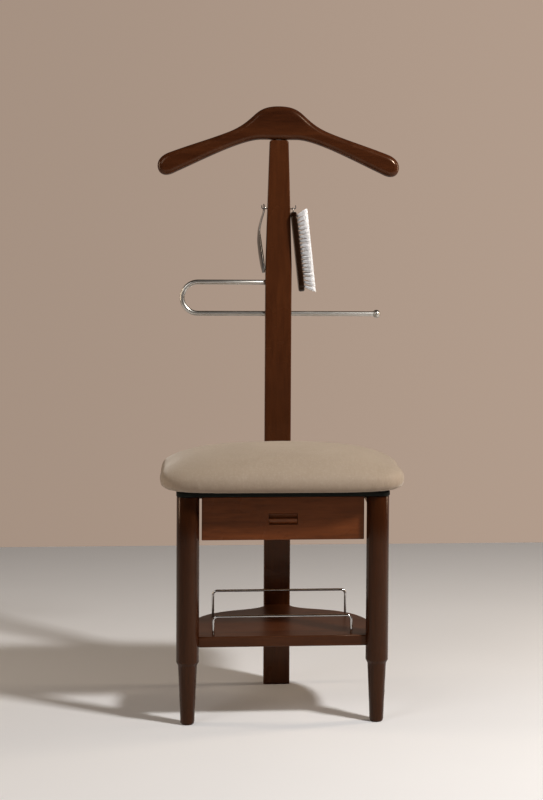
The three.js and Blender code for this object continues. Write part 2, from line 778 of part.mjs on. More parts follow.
function addFasteners() {
  add('left_leg_bolt', fastener(...legBolt(-1)), zincScrew());
  add('right_leg_bolt', fastener(...legBolt(1)), zincScrew());
  add('left_apron_screw', fastener(...apronScrew(-1)), zincScrew());
  add('right_apron_screw', fastener(...apronScrew(1)), zincScrew());
  apronBoltHeights.forEach((z, i) => {
    add(`post_bolt_${i + 1}`, fastener(...postBolt(z, 24)), zincScrew());
  });
  add('shelf_bolt', fastener(...postBolt(shelfMiddle, 40)), zincScrew());
  cushionScrewPlaces.forEach(([x, y], i) => {
    add(`cushion_screw_${i + 1}`, fastener(...cushionScrew(x, y)), zincScrew());
  });
  runnerScrewPlaces.forEach(([side, y], i) => {
    add(`runner_screw_${i + 1}`, fastener(...runnerScrew(side, y)), zincScrew());
  });
}

// The clothes brush hangs by its ring from the right hook and leans out at the bottom.
function addBrush() {
  const ringRadius = 3.2;
  const ringWire = 0.8;
  const hang = ringRadius - ringWire - HOOK_WIRE - 0.2;
  const brush = new THREE.Group();
  brush.position.set(postHalfWidthAt(HOOK_Z) + 5.6, postMiddle, HOOK_Z - hang);
  brush.rotation.y = THREE.MathUtils.degToRad(-BRUSH_LEAN);
  stand.add(brush);

  const top = -ringRadius - 1.5;
  const bottom = top - BRUSH_LENGTH;
  const outline = roundedRectangle(-BRUSH_WIDTH / 2, BRUSH_WIDTH / 2, bottom, top, 14);
  const slab = panelFacingFront(outline, -BRUSH_THICKNESS / 2, BRUSH_THICKNESS, 2);
  const shank = (clearance) => round([0, 0, -ringRadius], [0, 0, top - 8 - clearance], 1 + clearance, 8);
  add('brush_back', cut(slab.rotateZ(Math.PI / 2), shank(GAP)), walnut(), brush);

  const ring = new THREE.TorusGeometry(ringRadius, ringWire, 8, 20).rotateY(Math.PI / 2);
  add('brush_ring', join(ring, shank(0)), satinNickel(), brush);

  const base = BRUSH_THICKNESS / 2 + GAP;
  const block = (x, low, high, halfWidth) => [
    new THREE.Vector3(-halfWidth, low, x),
    new THREE.Vector3(halfWidth, low, x),
    new THREE.Vector3(halfWidth, high, x),
    new THREE.Vector3(-halfWidth, high, x),
  ];
  const bristles = loft([
    block(base, bottom + 6, top - 6, 16),
    block(base + BRISTLE_LENGTH, bottom - 1, top + 6, 20),
  ]);
  // The block is drawn with its bristles along Z; this lays them along X, with its length upright.
  const layDown = new THREE.Matrix4().makeBasis(
    new THREE.Vector3(0, 1, 0),
    new THREE.Vector3(0, 0, 1),
    new THREE.Vector3(1, 0, 0),
  );
  add('brush_bristles', bristles.applyMatrix4(layDown), whiteBristle(), brush);
}

// The shoehorn: a thin channel hung on the left hook by a hole near its top. It bows away from the
// post, and its two long edges turn back towards the post.
function addShoehorn() {
  const hookX = postHalfWidthAt(HOOK_Z) + 5.6;
  const top = HOOK_Z + 9;
  const thickness = 1.2;
  const hole = 2.4;
  const arcSteps = 6;
  // [drop below the top, outward shift of the edges, depth of the channel, half width]
  const stations = [
    [131, -1, 2.5, 8],
    [126, -0.4, 3.8, 12.5],
    [116, 0.8, 5, 15],
    [95, 3.8, 5.6, 15.5],
    [70, 7.2, 5, 13.5],
    [49, 9.8, 1, 10.5],
    [30, 5.2, 0.3, 9],
    [14, 0, 0, 8],
    [4, 0, 0, 7.5],
    [0, 0.6, 0, 5.5],
  ];
  const rings = stations.map(([drop, shift, depth, halfWidth]) => {
    const arc = (offset) => Array.from({ length: arcSteps + 1 }, (_, i) => {
      const across = (i / arcSteps) * 2 - 1;
      return new THREE.Vector3(
        -(hookX + shift + depth * (1 - across * across) + offset),
        postMiddle + halfWidth * across,
        top - drop,
      );
    });
    return [...arc(0), ...arc(thickness).reverse()];
  });
  const holeZ = HOOK_Z - hole + HOOK_WIRE + 0.2;
  const hook = round([-hookX - 6, postMiddle, holeZ], [-hookX + 3, postMiddle, holeZ], hole, 12);
  add('shoehorn', cut(loft(rings), hook), chrome());
}

addLegs();
addPost();
addHanger();
addTrouserBar();
addHooks();
addSeatFrame();
addSeat();
addDrawer();
addShelf();
addFasteners();
addBrush();
addShoehorn();

stand.position.y = -(standFront + standBack) / 2;
const valetStand = new THREE.Group();
valetStand.add(stand);

export default valetStand;
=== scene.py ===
import json
import math
import random

import bmesh
import bpy
import numpy as np
from mathutils import Matrix, Vector, noise


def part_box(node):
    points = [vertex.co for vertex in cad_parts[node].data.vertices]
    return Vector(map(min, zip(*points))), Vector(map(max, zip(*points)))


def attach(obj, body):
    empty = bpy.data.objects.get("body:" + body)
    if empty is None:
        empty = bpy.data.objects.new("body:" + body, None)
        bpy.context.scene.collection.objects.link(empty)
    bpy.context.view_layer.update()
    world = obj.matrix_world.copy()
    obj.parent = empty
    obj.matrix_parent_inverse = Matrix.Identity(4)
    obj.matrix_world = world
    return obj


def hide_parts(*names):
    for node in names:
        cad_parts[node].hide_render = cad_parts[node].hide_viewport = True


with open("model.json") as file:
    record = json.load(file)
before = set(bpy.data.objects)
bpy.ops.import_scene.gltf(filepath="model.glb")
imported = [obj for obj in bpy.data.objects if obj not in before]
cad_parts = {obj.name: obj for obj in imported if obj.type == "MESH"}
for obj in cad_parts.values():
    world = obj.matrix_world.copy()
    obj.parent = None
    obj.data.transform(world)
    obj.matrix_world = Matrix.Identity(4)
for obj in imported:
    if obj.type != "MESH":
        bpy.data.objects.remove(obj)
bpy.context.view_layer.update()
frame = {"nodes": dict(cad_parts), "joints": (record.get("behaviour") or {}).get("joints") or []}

MM = 0.001
NODES = frame["nodes"]
JOINTS = {joint["name"]: joint for joint in frame["joints"]}


# How much of the cloth's own movement shows over firm foam.
FOAM_GIVE = 0.4

# ---------- places and sizes, taken from the frame ----------
BOXES = {node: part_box(node) for node in NODES}


def low(node):
    return BOXES[node][0].copy()


def high(node):
    return BOXES[node][1].copy()


def centre(node):
    return (low(node) + high(node)) / 2


def size(node):
    return high(node) - low(node)


# ---------- material helpers ----------
class Material:
    """A procedural material: wraps a node tree and its Principled shader."""

    def __init__(self, name):
        self.material = bpy.data.materials.new(name)
        self.material.use_nodes = True
        self.tree = self.material.node_tree
        self.shader = self.tree.nodes["Principled BSDF"]
        self.position = self.node("ShaderNodeTexCoord").outputs["Object"]

    def node(self, kind, inputs=None, **settings):
        made = self.tree.nodes.new(kind)
        for key, value in settings.items():
            setattr(made, key, value)
        for key, value in (inputs or {}).items():
            self.feed(made.inputs[key], value)
        return made

    def feed(self, socket, value):
        if isinstance(value, bpy.types.NodeSocket):
            self.tree.links.new(value, socket)
        else:
            socket.default_value = value

    def set(self, **values):
        for key, value in values.items():
            self.feed(self.shader.inputs[key.replace("_", " ")], value)

    def stretched(self, scale):
        mapping = self.node("ShaderNodeMapping", {"Vector": self.position, "Scale": scale})
        return mapping.outputs["Vector"]

    def noise(self, vector, scale, detail=4.0, roughness=0.55, distortion=0.0):
        made = self.node("ShaderNodeTexNoise", {
            "Vector": vector,
            "Scale": scale,
            "Detail": detail,
            "Roughness": roughness,
            "Distortion": distortion,
        })
        return made.outputs["Fac"]

    def ramp(self, value, stops):
        made = self.node("ShaderNodeValToRGB", {"Fac": value})
        ramp = made.color_ramp
        while len(ramp.elements) < len(stops):
            ramp.elements.new(0.5)
        for element, (place, colour) in zip(ramp.elements, stops):
            element.position = place
            element.color = (*colour, 1) if len(colour) == 3 else colour
        return made.outputs["Color"]

    def span(self, value, from_low, from_high, to_low, to_high):
        made = self.node("ShaderNodeMapRange", {
            "Value": value,
            "From Min": from_low,
            "From Max": from_high,
            "To Min": to_low,
            "To Max": to_high,
        })
        return made.outputs["Result"]

    def math(self, operation, first, second=0.0):
        made = self.node("ShaderNodeMath", operation=operation)
        self.feed(made.inputs[0], first)
        self.feed(made.inputs[1], second)
        return made.outputs["Value"]

    def mix(self, factor, first, second, blend="MIX"):
        made = self.node("ShaderNodeMix", data_type="RGBA", blend_type=blend)
        self.feed(made.inputs[0], factor)
        self.feed(made.inputs[6], first if not isinstance(first, tuple) else (*first, 1))
        self.feed(made.inputs[7], second if not isinstance(second, tuple) else (*second, 1))
        return made.outputs[2]

    def bump(self, height, distance, strength=1.0, under=None):
        inputs = {"Height": height, "Distance": distance, "Strength": strength}
        if under is not None:
            inputs["Normal"] = under
        return self.node("ShaderNodeBump", inputs).outputs["Normal"]

    def attribute(self, name):
        return self.node("ShaderNodeAttribute", attribute_name=name).outputs["Fac"]

    def along(self, axis):
        parts = self.node("ShaderNodeSeparateXYZ", {"Vector": self.position})
        return parts.outputs[axis]


def walnut(name, grain, dark=(0.026, 0.0062, 0.0020), light=(0.088, 0.0245, 0.0070), matt=0.0):
    """Dark red-brown stained wood under satin lacquer, with its grain along X, Y or Z."""
    m = Material(name)
    across = {"X": (1.0, 9.0, 9.0), "Y": (9.0, 1.0, 9.0), "Z": (9.0, 9.0, 1.0)}[grain]
    fibre = m.stretched(across)
    figure = m.noise(fibre, 3.2, 3.0, 0.5, 0.9)
    streaks = m.noise(fibre, 26.0, 6.0, 0.62, 0.3)
    pores = m.noise(m.stretched(tuple(v * v / 3 for v in across)), 22.0, 3.0, 0.6)
    tone = m.math("MULTIPLY_ADD", streaks, 0.45)
    m.tree.nodes[-1].inputs[2].default_value = 0.0
    tone = m.math("ADD", tone, m.math("MULTIPLY", figure, 0.55))
    colour = m.ramp(tone, [(0.24, dark), (0.52, tuple((a + b) / 2 for a, b in zip(dark, light))), (0.82, light)])
    pore_mask = m.span(pores, 0.30, 0.42, 1.0, 0.0)
    colour = m.mix(m.math("MULTIPLY", pore_mask, 0.35), colour, tuple(v * 0.45 for v in dark))
    rub = m.math("MULTIPLY", m.attribute("edge"), m.span(m.noise(m.position, 55.0, 4.0), 0.42, 0.68, 0.0, 0.14))
    colour = m.mix(rub, colour, (0.16, 0.065, 0.030))
    roughness = m.math("ADD", m.span(m.noise(m.position, 9.0, 3.0), 0.3, 0.7, 0.24 + matt, 0.31 + matt), m.math("MULTIPLY", rub, 0.2))
    m.set(Base_Color=colour, Roughness=roughness, Coat_Weight=0.06, Coat_Roughness=0.1, Specular_IOR_Level=0.25, Specular_Tint=(1.0, 0.72, 0.5, 1))
    under = m.bump(streaks, 0.00025, 0.35)
    m.set(Normal=m.bump(pores, 0.00012, 0.35, under))
    return m.material


def raw_wood(name, grain):
    """Pale sanded wood or plywood without lacquer."""
    m = Material(name)
    across = {"X": (1.0, 11.0, 11.0), "Y": (11.0, 1.0, 11.0), "Z": (11.0, 11.0, 1.0)}[grain]
    fibre = m.stretched(across)
    figure = m.noise(fibre, 4.0, 3.0, 0.5, 1.2)
    streaks = m.noise(fibre, 34.0, 5.0, 0.65)
    tone = m.math("ADD", m.math("MULTIPLY", figure, 0.6), m.math("MULTIPLY", streaks, 0.4))
    colour = m.ramp(tone, [(0.3, (0.30, 0.17, 0.085)), (0.5, (0.42, 0.26, 0.14)), (0.72, (0.52, 0.35, 0.20))])
    m.set(Base_Color=colour, Roughness=m.span(streaks, 0.3, 0.7, 0.55, 0.75), Specular_IOR_Level=0.3)
    m.set(Normal=m.bump(streaks, 0.0003, 0.5))
    return m.material


def black_board():
    """Black-stained board: matt, a little dusty, with its fibres just showing."""
    m = Material("black_board")
    fibres = m.noise(m.stretched((4.0, 30.0, 30.0)), 12.0, 5.0, 0.6)
    dust = m.noise(m.position, 14.0, 4.0)
    colour = m.ramp(fibres, [(0.3, (0.003, 0.0035, 0.0025)), (0.7, (0.008, 0.009, 0.0065))])
    colour = m.mix(m.span(dust, 0.5, 0.8, 0.0, 0.2), colour, (0.018, 0.017, 0.014))
    m.set(Base_Color=colour, Roughness=m.span(dust, 0.3, 0.7, 0.55, 0.72), Specular_IOR_Level=0.1)
    m.set(Normal=m.bump(fibres, 0.0002, 0.5))
    return m.material


def suede():
    """Short-pile beige cloth: soft blotches where the nap was brushed, a fine fibre and a sheen."""
    m = Material("suede")
    blotch = m.noise(m.position, 7.0, 3.0, 0.5, 0.6)
    brushed = m.noise(m.stretched((60.0, 12.0, 24.0)), 4.0, 4.0, 0.6)
    nap = m.noise(m.position, 900.0, 2.0, 0.7)
    grit = m.noise(m.position, 260.0, 4.0, 0.65)
    colour = m.ramp(blotch, [(0.32, (0.305, 0.238, 0.175)), (0.55, (0.340, 0.268, 0.200)), (0.75, (0.380, 0.303, 0.230))])
    colour = m.mix(m.span(brushed, 0.35, 0.7, 0.0, 0.35), colour, (0.395, 0.318, 0.245))
    colour = m.mix(m.span(nap, 0.45, 0.75, 0.0, 0.3), colour, (0.27, 0.212, 0.155))
    colour = m.mix(m.span(grit, 0.5, 0.8, 0.0, 0.25), colour, (0.53, 0.455, 0.37))
    # Painted shade: the cloth darkens to brown over its lowest 26 mm, standing in for the shade along the pad's lower
    # edge.
    painted_lower_shade = m.span(m.along("Z"), low("seat_cushion").z + 4 * MM, low("seat_cushion").z + 26 * MM, 0.45, 0.0)
    colour = m.mix(painted_lower_shade, colour, (0.16, 0.10, 0.062))
    m.set(Base_Color=colour, Roughness=0.92, Specular_IOR_Level=0.15)
    m.set(Sheen_Weight=0.35, Sheen_Roughness=0.45, Sheen_Tint=(1.0, 0.93, 0.84, 1))
    under = m.bump(grit, 0.0006, 0.35)
    m.set(Normal=m.bump(nap, 0.0004, 0.45, under))
    return m.material


def satin_nickel():
    """Satin nickel plate: fine scratches along the work and a soft gloss."""
    m = Material("satin_nickel")
    scratches = m.noise(m.stretched((3.0, 60.0, 60.0)), 40.0, 4.0, 0.7)
    cloud = m.noise(m.position, 18.0, 3.0)
    colour = m.ramp(cloud, [(0.3, (0.50, 0.48, 0.44)), (0.7, (0.57, 0.55, 0.51))])
    m.set(Base_Color=colour, Metallic=1.0, Roughness=m.span(scratches, 0.3, 0.7, 0.27, 0.36))
    m.set(Normal=m.bump(scratches, 0.00001, 0.15))
    return m.material


def chrome(name="chrome", shade=1.0):
    """Bright chrome wire with faint handling marks."""
    m = Material(name)
    smudge = m.noise(m.position, 35.0, 4.0, 0.6)
    colour = m.ramp(smudge, [(0.3, tuple(v * shade for v in (0.42, 0.41, 0.40))), (0.7, tuple(v * shade for v in (0.50, 0.49, 0.48)))])
    m.set(Base_Color=colour, Metallic=1.0, Roughness=m.span(smudge, 0.45, 0.75, 0.07, 0.2))
    m.set(Normal=m.bump(m.noise(m.position, 300.0, 2.0), 0.00002, 0.2))
    return m.material


def zinc_steel():
    """Zinc-plated screws: cloudy grey with a slightly yellow cast."""
    m = Material("zinc_steel")
    cloud = m.noise(m.position, 220.0, 4.0)
    colour = m.ramp(cloud, [(0.3, (0.40, 0.40, 0.36)), (0.7, (0.56, 0.55, 0.50))])
    m.set(Base_Color=colour, Metallic=1.0, Roughness=m.span(cloud, 0.3, 0.7, 0.28, 0.45))
    m.set(Normal=m.bump(cloud, 0.00005, 0.3))
    return m.material


def bristle():
    """White nylon filament, a little translucent, with painted shade that greys it towards the root."""
    m = Material("bristle")
    strand = m.noise(m.position, 420.0, 2.0)
    # Painted shade: a pinkish grey towards each tuft's root, standing in for the shade between the tufts.
    root = m.attribute("root")
    colour = m.ramp(strand, [(0.3, (0.94, 0.94, 0.955)), (0.7, (0.985, 0.985, 1.0))])
    colour = m.mix(m.math("MULTIPLY", root, 0.22), colour, (0.66, 0.58, 0.58))
    m.set(Base_Color=colour, Roughness=m.span(strand, 0.3, 0.7, 0.35, 0.5))
    m.set(Subsurface_Weight=0.3, Subsurface_Scale=0.004, Subsurface_Radius=(1.0, 1.0, 1.0))
    return m.material


def floor_surface():
    m = Material("floor")
    cloud = m.noise(m.position, 1.4, 3.0)
    m.set(Base_Color=m.ramp(cloud, [(0.3, (0.84, 0.84, 0.85)), (0.7, (0.87, 0.87, 0.88))]))
    m.set(Roughness=0.75, Specular_IOR_Level=0.2, Specular_Tint=(1.0, 0.72, 0.5, 1))
    return m.material


# ---------- mesh helpers ----------
def add_object(name, mesh):
    made = bpy.data.objects.new(name, mesh)
    bpy.context.scene.collection.objects.link(made)
    return made


def from_faces(name, points, faces, smooth=True):
    mesh = bpy.data.meshes.new(name)
    mesh.from_pydata([tuple(p) for p in points], [], faces)
    mesh.validate()
    mesh.polygons.foreach_set("use_smooth", [smooth] * len(mesh.polygons))
    return add_object(name, mesh)


def apply_modifiers(piece):
    graph = bpy.context.evaluated_depsgraph_get()
    mesh = bpy.data.meshes.new_from_object(piece.evaluated_get(graph))
    piece.modifiers.clear()
    piece.data = mesh


def even_normals(piece):
    """Lets the large flat faces set the shading, so that rounded edges blend into them."""
    modifier = piece.modifiers.new("normals", "WEIGHTED_NORMAL")
    modifier.weight = 60
    modifier.keep_sharp = True
    apply_modifiers(piece)


def carve(piece, *cutters):
    for cutter in cutters:
        modifier = piece.modifiers.new("cut", "BOOLEAN")
        modifier.operation = "DIFFERENCE"
        modifier.solver = "EXACT"
        modifier.object = cutter
    apply_modifiers(piece)
    for cutter in cutters:
        bpy.data.objects.remove(cutter)


def ring_faces(rows, count, closed=True):
    faces = []
    for r in range(rows - 1):
        for i in range(count if closed else count - 1):
            j = (i + 1) % count
            faces.append((r * count + i, r * count + j, (r + 1) * count + j, (r + 1) * count + i))
    return faces


def skin(name, rings, smooth=True):
    """A closed skin over rings of points, capped at both ends."""
    count = len(rings[0])
    points = [p for ring in rings for p in ring]
    faces = ring_faces(len(rings), count)
    last = (len(rings) - 1) * count
    faces.append(tuple(range(count - 1, -1, -1)))
    faces.append(tuple(last + i for i in range(count)))
    return from_faces(name, points, faces, smooth)


def offset(outline, distance):
    """Moves a counter-clockwise outline inwards by a distance, mitred at its corners."""
    count = len(outline)
    moved = []
    for i in range(count):
        before = (outline[i] - outline[i - 1]).normalized()
        after = (outline[(i + 1) % count] - outline[i]).normalized()
        normal_before = Vector((-before.y, before.x))
        normal_after = Vector((-after.y, after.x))
        mitre = (normal_before + normal_after).normalized()
        moved.append(outline[i] + mitre * (distance / max(0.35, mitre.dot(normal_after))))
    return moved


PLANES = {
    "XY": lambda u, v, w: Vector((u, v, w)),
    "XZ": lambda u, v, w: Vector((u, -w, v)),
    "YZ": lambda u, v, w: Vector((w, u, v)),
}


def slab(name, outline, plane, near, far, edge, steps=6):
    """A board of the given outline between two depths, with rounded edges.

    The depth runs along the plane's normal: +Z for XY, -Y for XZ and +X for YZ."""
    place = PLANES[plane]
    rings, wear = [], []
    levels = [(k / steps) * math.pi / 2 for k in range(steps + 1)]
    for angle in levels:
        rings.append((edge * (1 - math.sin(angle)), near + edge * (1 - math.cos(angle))))
        wear.append(math.sin(2 * angle))
    for angle in reversed(levels):
        rings.append((edge * (1 - math.sin(angle)), far - edge * (1 - math.cos(angle))))
        wear.append(math.sin(2 * angle))
    points = [[place(p.x, p.y, depth) for p in offset(outline, inset)] for inset, depth in rings]
    made = skin(name, points)
    worn = made.data.attributes.new("edge", "FLOAT", "POINT")
    worn.data.foreach_set("value", np.repeat(np.array(wear, np.float32), len(outline)))
    return made


def arc(x, y, radius, start, end, steps=8):
    angles = [math.radians(start + (end - start) * i / steps) for i in range(steps + 1)]
    return [Vector((x + radius * math.cos(a), y + radius * math.sin(a))) for a in angles]


def rounded_rectangle(left, right, bottom, top, radius, steps=8):
    return (
        arc(right - radius, bottom + radius, radius, -90, 0, steps)
        + arc(right - radius, top - radius, radius, 0, 90, steps)
        + arc(left + radius, top - radius, radius, 90, 180, steps)
        + arc(left + radius, bottom + radius, radius, 180, 270, steps)
    )


def bezier(start, first, second, end, steps=14):
    """Points of a cubic curve, without its last point."""
    a, b, c, d = (Vector(p) for p in (start, first, second, end))
    points = []
    for i in range(steps):
        t = i / steps
        s = 1 - t
        points.append(a * s**3 + b * 3 * s * s * t + c * 3 * s * t * t + d * t**3)
    return points


def mirrored(half):
    """Closes a right-hand half outline, which runs from the bottom middle up to the top middle."""
    left = [Vector((-p.x, p.y)) for p in reversed(half) if abs(p.x) > 1e-7]
    return half + left


def cylinder(name, start, end, radius, sides=32):
    start, end = Vector(start), Vector(end)
    along = (end - start).normalized()
    side = along.orthogonal().normalized()
    other = along.cross(side)
    ring = lambda middle: [
        middle + (side * math.cos(a) + other * math.sin(a)) * radius
        for a in (2 * math.pi * i / sides for i in range(sides))
    ]
    return skin(name, [ring(start), ring(end)])


def box_cutter(name, lowest, highest):
    a, b = Vector(lowest), Vector(highest)
    ring = lambda z: [Vector((a.x, a.y, z)), Vector((b.x, a.y, z)), Vector((b.x, b.y, z)), Vector((a.x, b.y, z))]
    return skin(name, [ring(a.z), ring(b.z)], smooth=False)


def turned(name, profile, origin, axis="Z", sides=64):
    """A turned piece from (radius, height) pairs, which start and end on the axis."""
    frames = {
        "Z": lambda r, h, a: Vector((r * math.cos(a), r * math.sin(a), h)),
        "-Z": lambda r, h, a: Vector((r * math.cos(a), -r * math.sin(a), -h)),
        "X": lambda r, h, a: Vector((h, r * math.cos(a), r * math.sin(a))),
        "Y": lambda r, h, a: Vector((r * math.sin(a), h, r * math.cos(a))),
        "-Y": lambda r, h, a: Vector((r * math.sin(a), -h, -r * math.cos(a))),
    }[axis]
    middle = profile[1:-1]
    points = [Vector(origin) + frames(r, h, 2 * math.pi * i / sides) for r, h in middle for i in range(sides)]
    faces = ring_faces(len(middle), sides)
    start, end = len(points), len(points) + 1
    points += [Vector(origin) + frames(0, profile[0][1], 0), Vector(origin) + frames(0, profile[-1][1], 0)]
    last = (len(middle) - 1) * sides
    for i in range(sides):
        j = (i + 1) % sides
        faces.append((start, j, i))
        faces.append((end, last + i, last + j))
    return from_faces(name, points, faces)


def tube(name, route, radius, sides=24, tip=0.0):
    """A round wire along a route of points, with eased ends where tip is given."""
    route = [Vector(p) for p in route]
    tangents = []
    for i in range(len(route)):
        before = route[i] - route[max(0, i - 1)]
        after = route[min(len(route) - 1, i + 1)] - route[i]
        tangents.append((before.normalized() + after.normalized()).normalized())
    side = tangents[0].orthogonal().normalized()
    rings = []

    def ring(middle, along, r):
        nonlocal side
        side = (side - along * side.dot(along)).normalized()
        other = along.cross(side)
        angles = [2 * math.pi * i / sides for i in range(sides)]
        return [middle + (side * math.cos(a) + other * math.sin(a)) * r for a in angles]

    def cap(middle, along, direction):
        steps = [0.05, 0.35, 0.62, 0.85, 1.0]
        made = [ring(middle + along * direction * tip * math.sqrt(1 - s * s), along, radius * s) for s in steps]
        return made

    if tip:
        rings += cap(route[0], tangents[0], -1)[:-1]
    for middle, along in zip(route, tangents):
        rings.append(ring(middle, along, radius))
    if tip:
        rings += list(reversed(cap(route[-1], tangents[-1], 1)[:-1]))
    return skin(name, rings)


def bend(middle, radius, start, end, steps=12):
    """Points of an arc in the XZ plane about a centre."""
    angles = [math.radians(start + (end - start) * i / steps) for i in range(steps + 1)]
    return [Vector((middle[0] + radius * math.cos(a), middle[1], middle[2] + radius * math.sin(a))) for a in angles]


def finish(piece, material, body, slot, *replaced):
    piece.data.materials.clear()
    piece.data.materials.append(material)
    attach(piece, body)
    if replaced:
        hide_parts(*replaced)
    return piece


# ---------- the wooden frame ----------
def make_legs(wood):
    for node in ("left_leg", "right_leg"):
        axis = centre(node)
        top = size(node).z
        radius = size(node).x / 2
        collar_top, collar_bottom = 112 * MM, 104.5 * MM
        profile = [(0, 0), (8.6 * MM, 0), (10.2 * MM, 0.4 * MM), (11.4 * MM, 1.6 * MM), (12.1 * MM, 3.2 * MM)]
        profile += [(12.4 * MM, 5.5 * MM), (12.7 * MM, 14 * MM), (13.1 * MM, 26 * MM)]
        profile += [(13.8 * MM, 42 * MM), (14.5 * MM, 58 * MM), (15.3 * MM, 76 * MM), (16.1 * MM, 93 * MM)]
        profile += [(16.5 * MM, collar_bottom - 1.5 * MM), (16.75 * MM, collar_bottom)]
        profile += [(17.1 * MM, collar_bottom + 1.2 * MM), (17.9 * MM, collar_bottom + 2.9 * MM)]
        profile += [(18.9 * MM, collar_bottom + 4.6 * MM), (19.6 * MM, collar_top - 1.4 * MM)]
        profile += [(19.92 * MM, collar_top - 0.5 * MM), (radius, collar_top + 0.6 * MM)]
        profile += [(radius, top * f) for f in (0.3, 0.45, 0.6, 0.8)]
        profile += [(radius, top - 1.6 * MM), (radius - 0.4 * MM, top - 0.5 * MM), (radius - 1.4 * MM, top), (0, top)]
        piece = turned(node + "_turned", profile, (axis.x, axis.y, low(node).z))
        finish(piece, wood, "frame", "walnut", node)


def post_half_width(z):
    """The post's half width: constant, then tapering to its top."""
    foot, top = size("back_post").x / 2, 18 * MM
    taper_start, taper_end = 804 * MM, high("back_post").z
    climb = max(0.0, z - taper_start) / (taper_end - taper_start)
    return foot + (top - foot) * climb


def bolt_holes():
    """Counterbores in the post's back for the three bolts."""
    holes = []
    for node in ("post_bolt_1", "post_bolt_2", "shelf_bolt"):
        middle, back = centre(node), high("back_post").y
        head = size(node).x / 2 + 0.4 * MM
        holes.append(cylinder("hole", (middle.x, back + 2 * MM, middle.z), (middle.x, back - 4.8 * MM, middle.z), head))
    return holes


def make_post(wood):
    base, top = low("back_post").z, high("back_post").z
    crown = 5 * MM
    foot_half, top_half = post_half_width(0), post_half_width(top)
    half = [Vector((0, base)), Vector((foot_half - 0.8 * MM, base)), Vector((foot_half, base + 0.8 * MM))]
    half += [Vector((foot_half, z * MM)) for z in (200, 400, 600, 790, 804)]
    half += [Vector((post_half_width(z * MM), z * MM)) for z in (818, 900, 980)]
    half += arc(top_half - crown, top - crown, crown, 0, 90)
    half.append(Vector((0, top)))
    piece = slab("back_post_board", mirrored(half), "XZ", -high("back_post").y, -low("back_post").y, 2.6 * MM)
    carve(piece, *bolt_holes())
    even_normals(piece)
    finish(piece, wood, "frame", "walnut", "back_post")


def hanger_outline():
    half, top, bottom = high("hanger").x, high("hanger").z, low("hanger").z
    at = lambda x, drop: (x * MM, top - drop * MM)
    tip = (half, top - 114 * MM)
    toe = (213 * MM, bottom)
    points = [Vector((0, top - 63.5 * MM))]
    points += bezier(at(34, 63.5), at(70, 64), at(140, 101), at(190, 124), 20)
    points += bezier(at(190, 124), at(197, 127), (204 * MM, bottom), toe, 6)
    points += bezier(toe, (223 * MM, bottom), (half, top - 124 * MM), tip, 10)
    points += bezier(tip, (half, top - 102 * MM), at(219, 93), at(204, 88), 10)
    points += bezier(at(204, 88), at(170, 75), at(130, 63), at(96, 49.5), 16)
    points += bezier(at(96, 49.5), at(70, 39), at(58, 27), at(46, 16), 12)
    points += bezier(at(46, 16), at(34, 5), at(22, 0), at(0, 0), 12)
    points.append(Vector((0, top)))
    return mirrored(points)


def make_hanger(wood):
    piece = slab("coat_hanger", hanger_outline(), "XZ", -high("hanger").y, -low("hanger").y, 11 * MM, 10)
    even_normals(piece)
    finish(piece, wood, "frame", "walnut", "hanger")


# ---------- metal parts ----------
def make_trouser_bar(metal):
    a, b = low("trouser_bar"), high("trouser_bar")
    radius = size("trouser_bar").y / 2
    y = (a.y + b.y) / 2
    upper, lower = b.z - radius, a.z + radius
    turn_radius = (upper - lower) / 2
    turn_x = a.x + radius + turn_radius
    root = -post_half_width(upper) + 12 * MM
    route = [Vector((root, y, upper))]
    route += bend((turn_x, y, (upper + lower) / 2), turn_radius, 90, 270, 40)
    route += [Vector((b.x, y, lower))]
    piece = tube("trouser_rod", route, radius, 32)
    even_normals(piece)
    finish(piece, metal, "frame", "satin_nickel", "trouser_bar")

    ball = size("bar_ball_end").z / 2
    reach = centre("bar_ball_end")
    outer = high("bar_ball_end").x
    profile = [(0, -size("bar_ball_end").x)]
    profile += [(radius + 0.3 * MM, -size("bar_ball_end").x)]
    start = math.asin((radius + 0.3 * MM) / ball)
    angles = [math.pi - start - (math.pi - start) * i / 22 for i in range(1, 22)]
    profile += [(ball * math.sin(t), -ball + ball * math.cos(t)) for t in angles]
    profile += [(0, 0)]
    piece = turned("rod_ball", profile, (outer, reach.y, reach.z), "X", 48)
    finish(piece, metal, "frame", "satin_nickel", "bar_ball_end")


def make_hooks(metal):
    for node, side in (("left_hook", -1), ("right_hook", 1)):
        wire = size(node).y / 2
        stem = low(node).z + wire
        tip_x = (high(node).x if side > 0 else low(node).x) - side * wire
        middle = centre(node).y
        root = side * (post_half_width(stem) - 4 * MM)
        turn = 3 * MM
        angles = (-90, 0) if side > 0 else (270, 180)
        route = [Vector((root, middle, stem))]
        route += bend((tip_x - side * turn, middle, stem + turn), turn, *angles, 10)
        route += [Vector((tip_x, middle, high(node).z - wire * 0.8))]
        piece = tube(node + "_wire", route, wire, 16, tip=wire * 0.8)
        finish(piece, metal, "frame", "satin_nickel", node)


def make_rails(metal):
    for node in ("front_shoe_rail", "rear_shoe_rail"):
        a, b = low(node), high(node)
        wire = size(node).y / 2
        y = (a.y + b.y) / 2
        turn = 8 * MM
        left, right, top = a.x + wire, b.x - wire, b.z - wire
        route = [Vector((left, y, a.z + 1 * MM))]
        route += bend((left + turn, y, top - turn), turn, 180, 90, 12)
        route += bend((right - turn, y, top - turn), turn, 90, 0, 12)
        route += [Vector((right, y, a.z + 1 * MM))]
        piece = tube(node + "_wire", route, wire, 24)
        even_normals(piece)
        finish(piece, metal, "frame", "chrome", node)


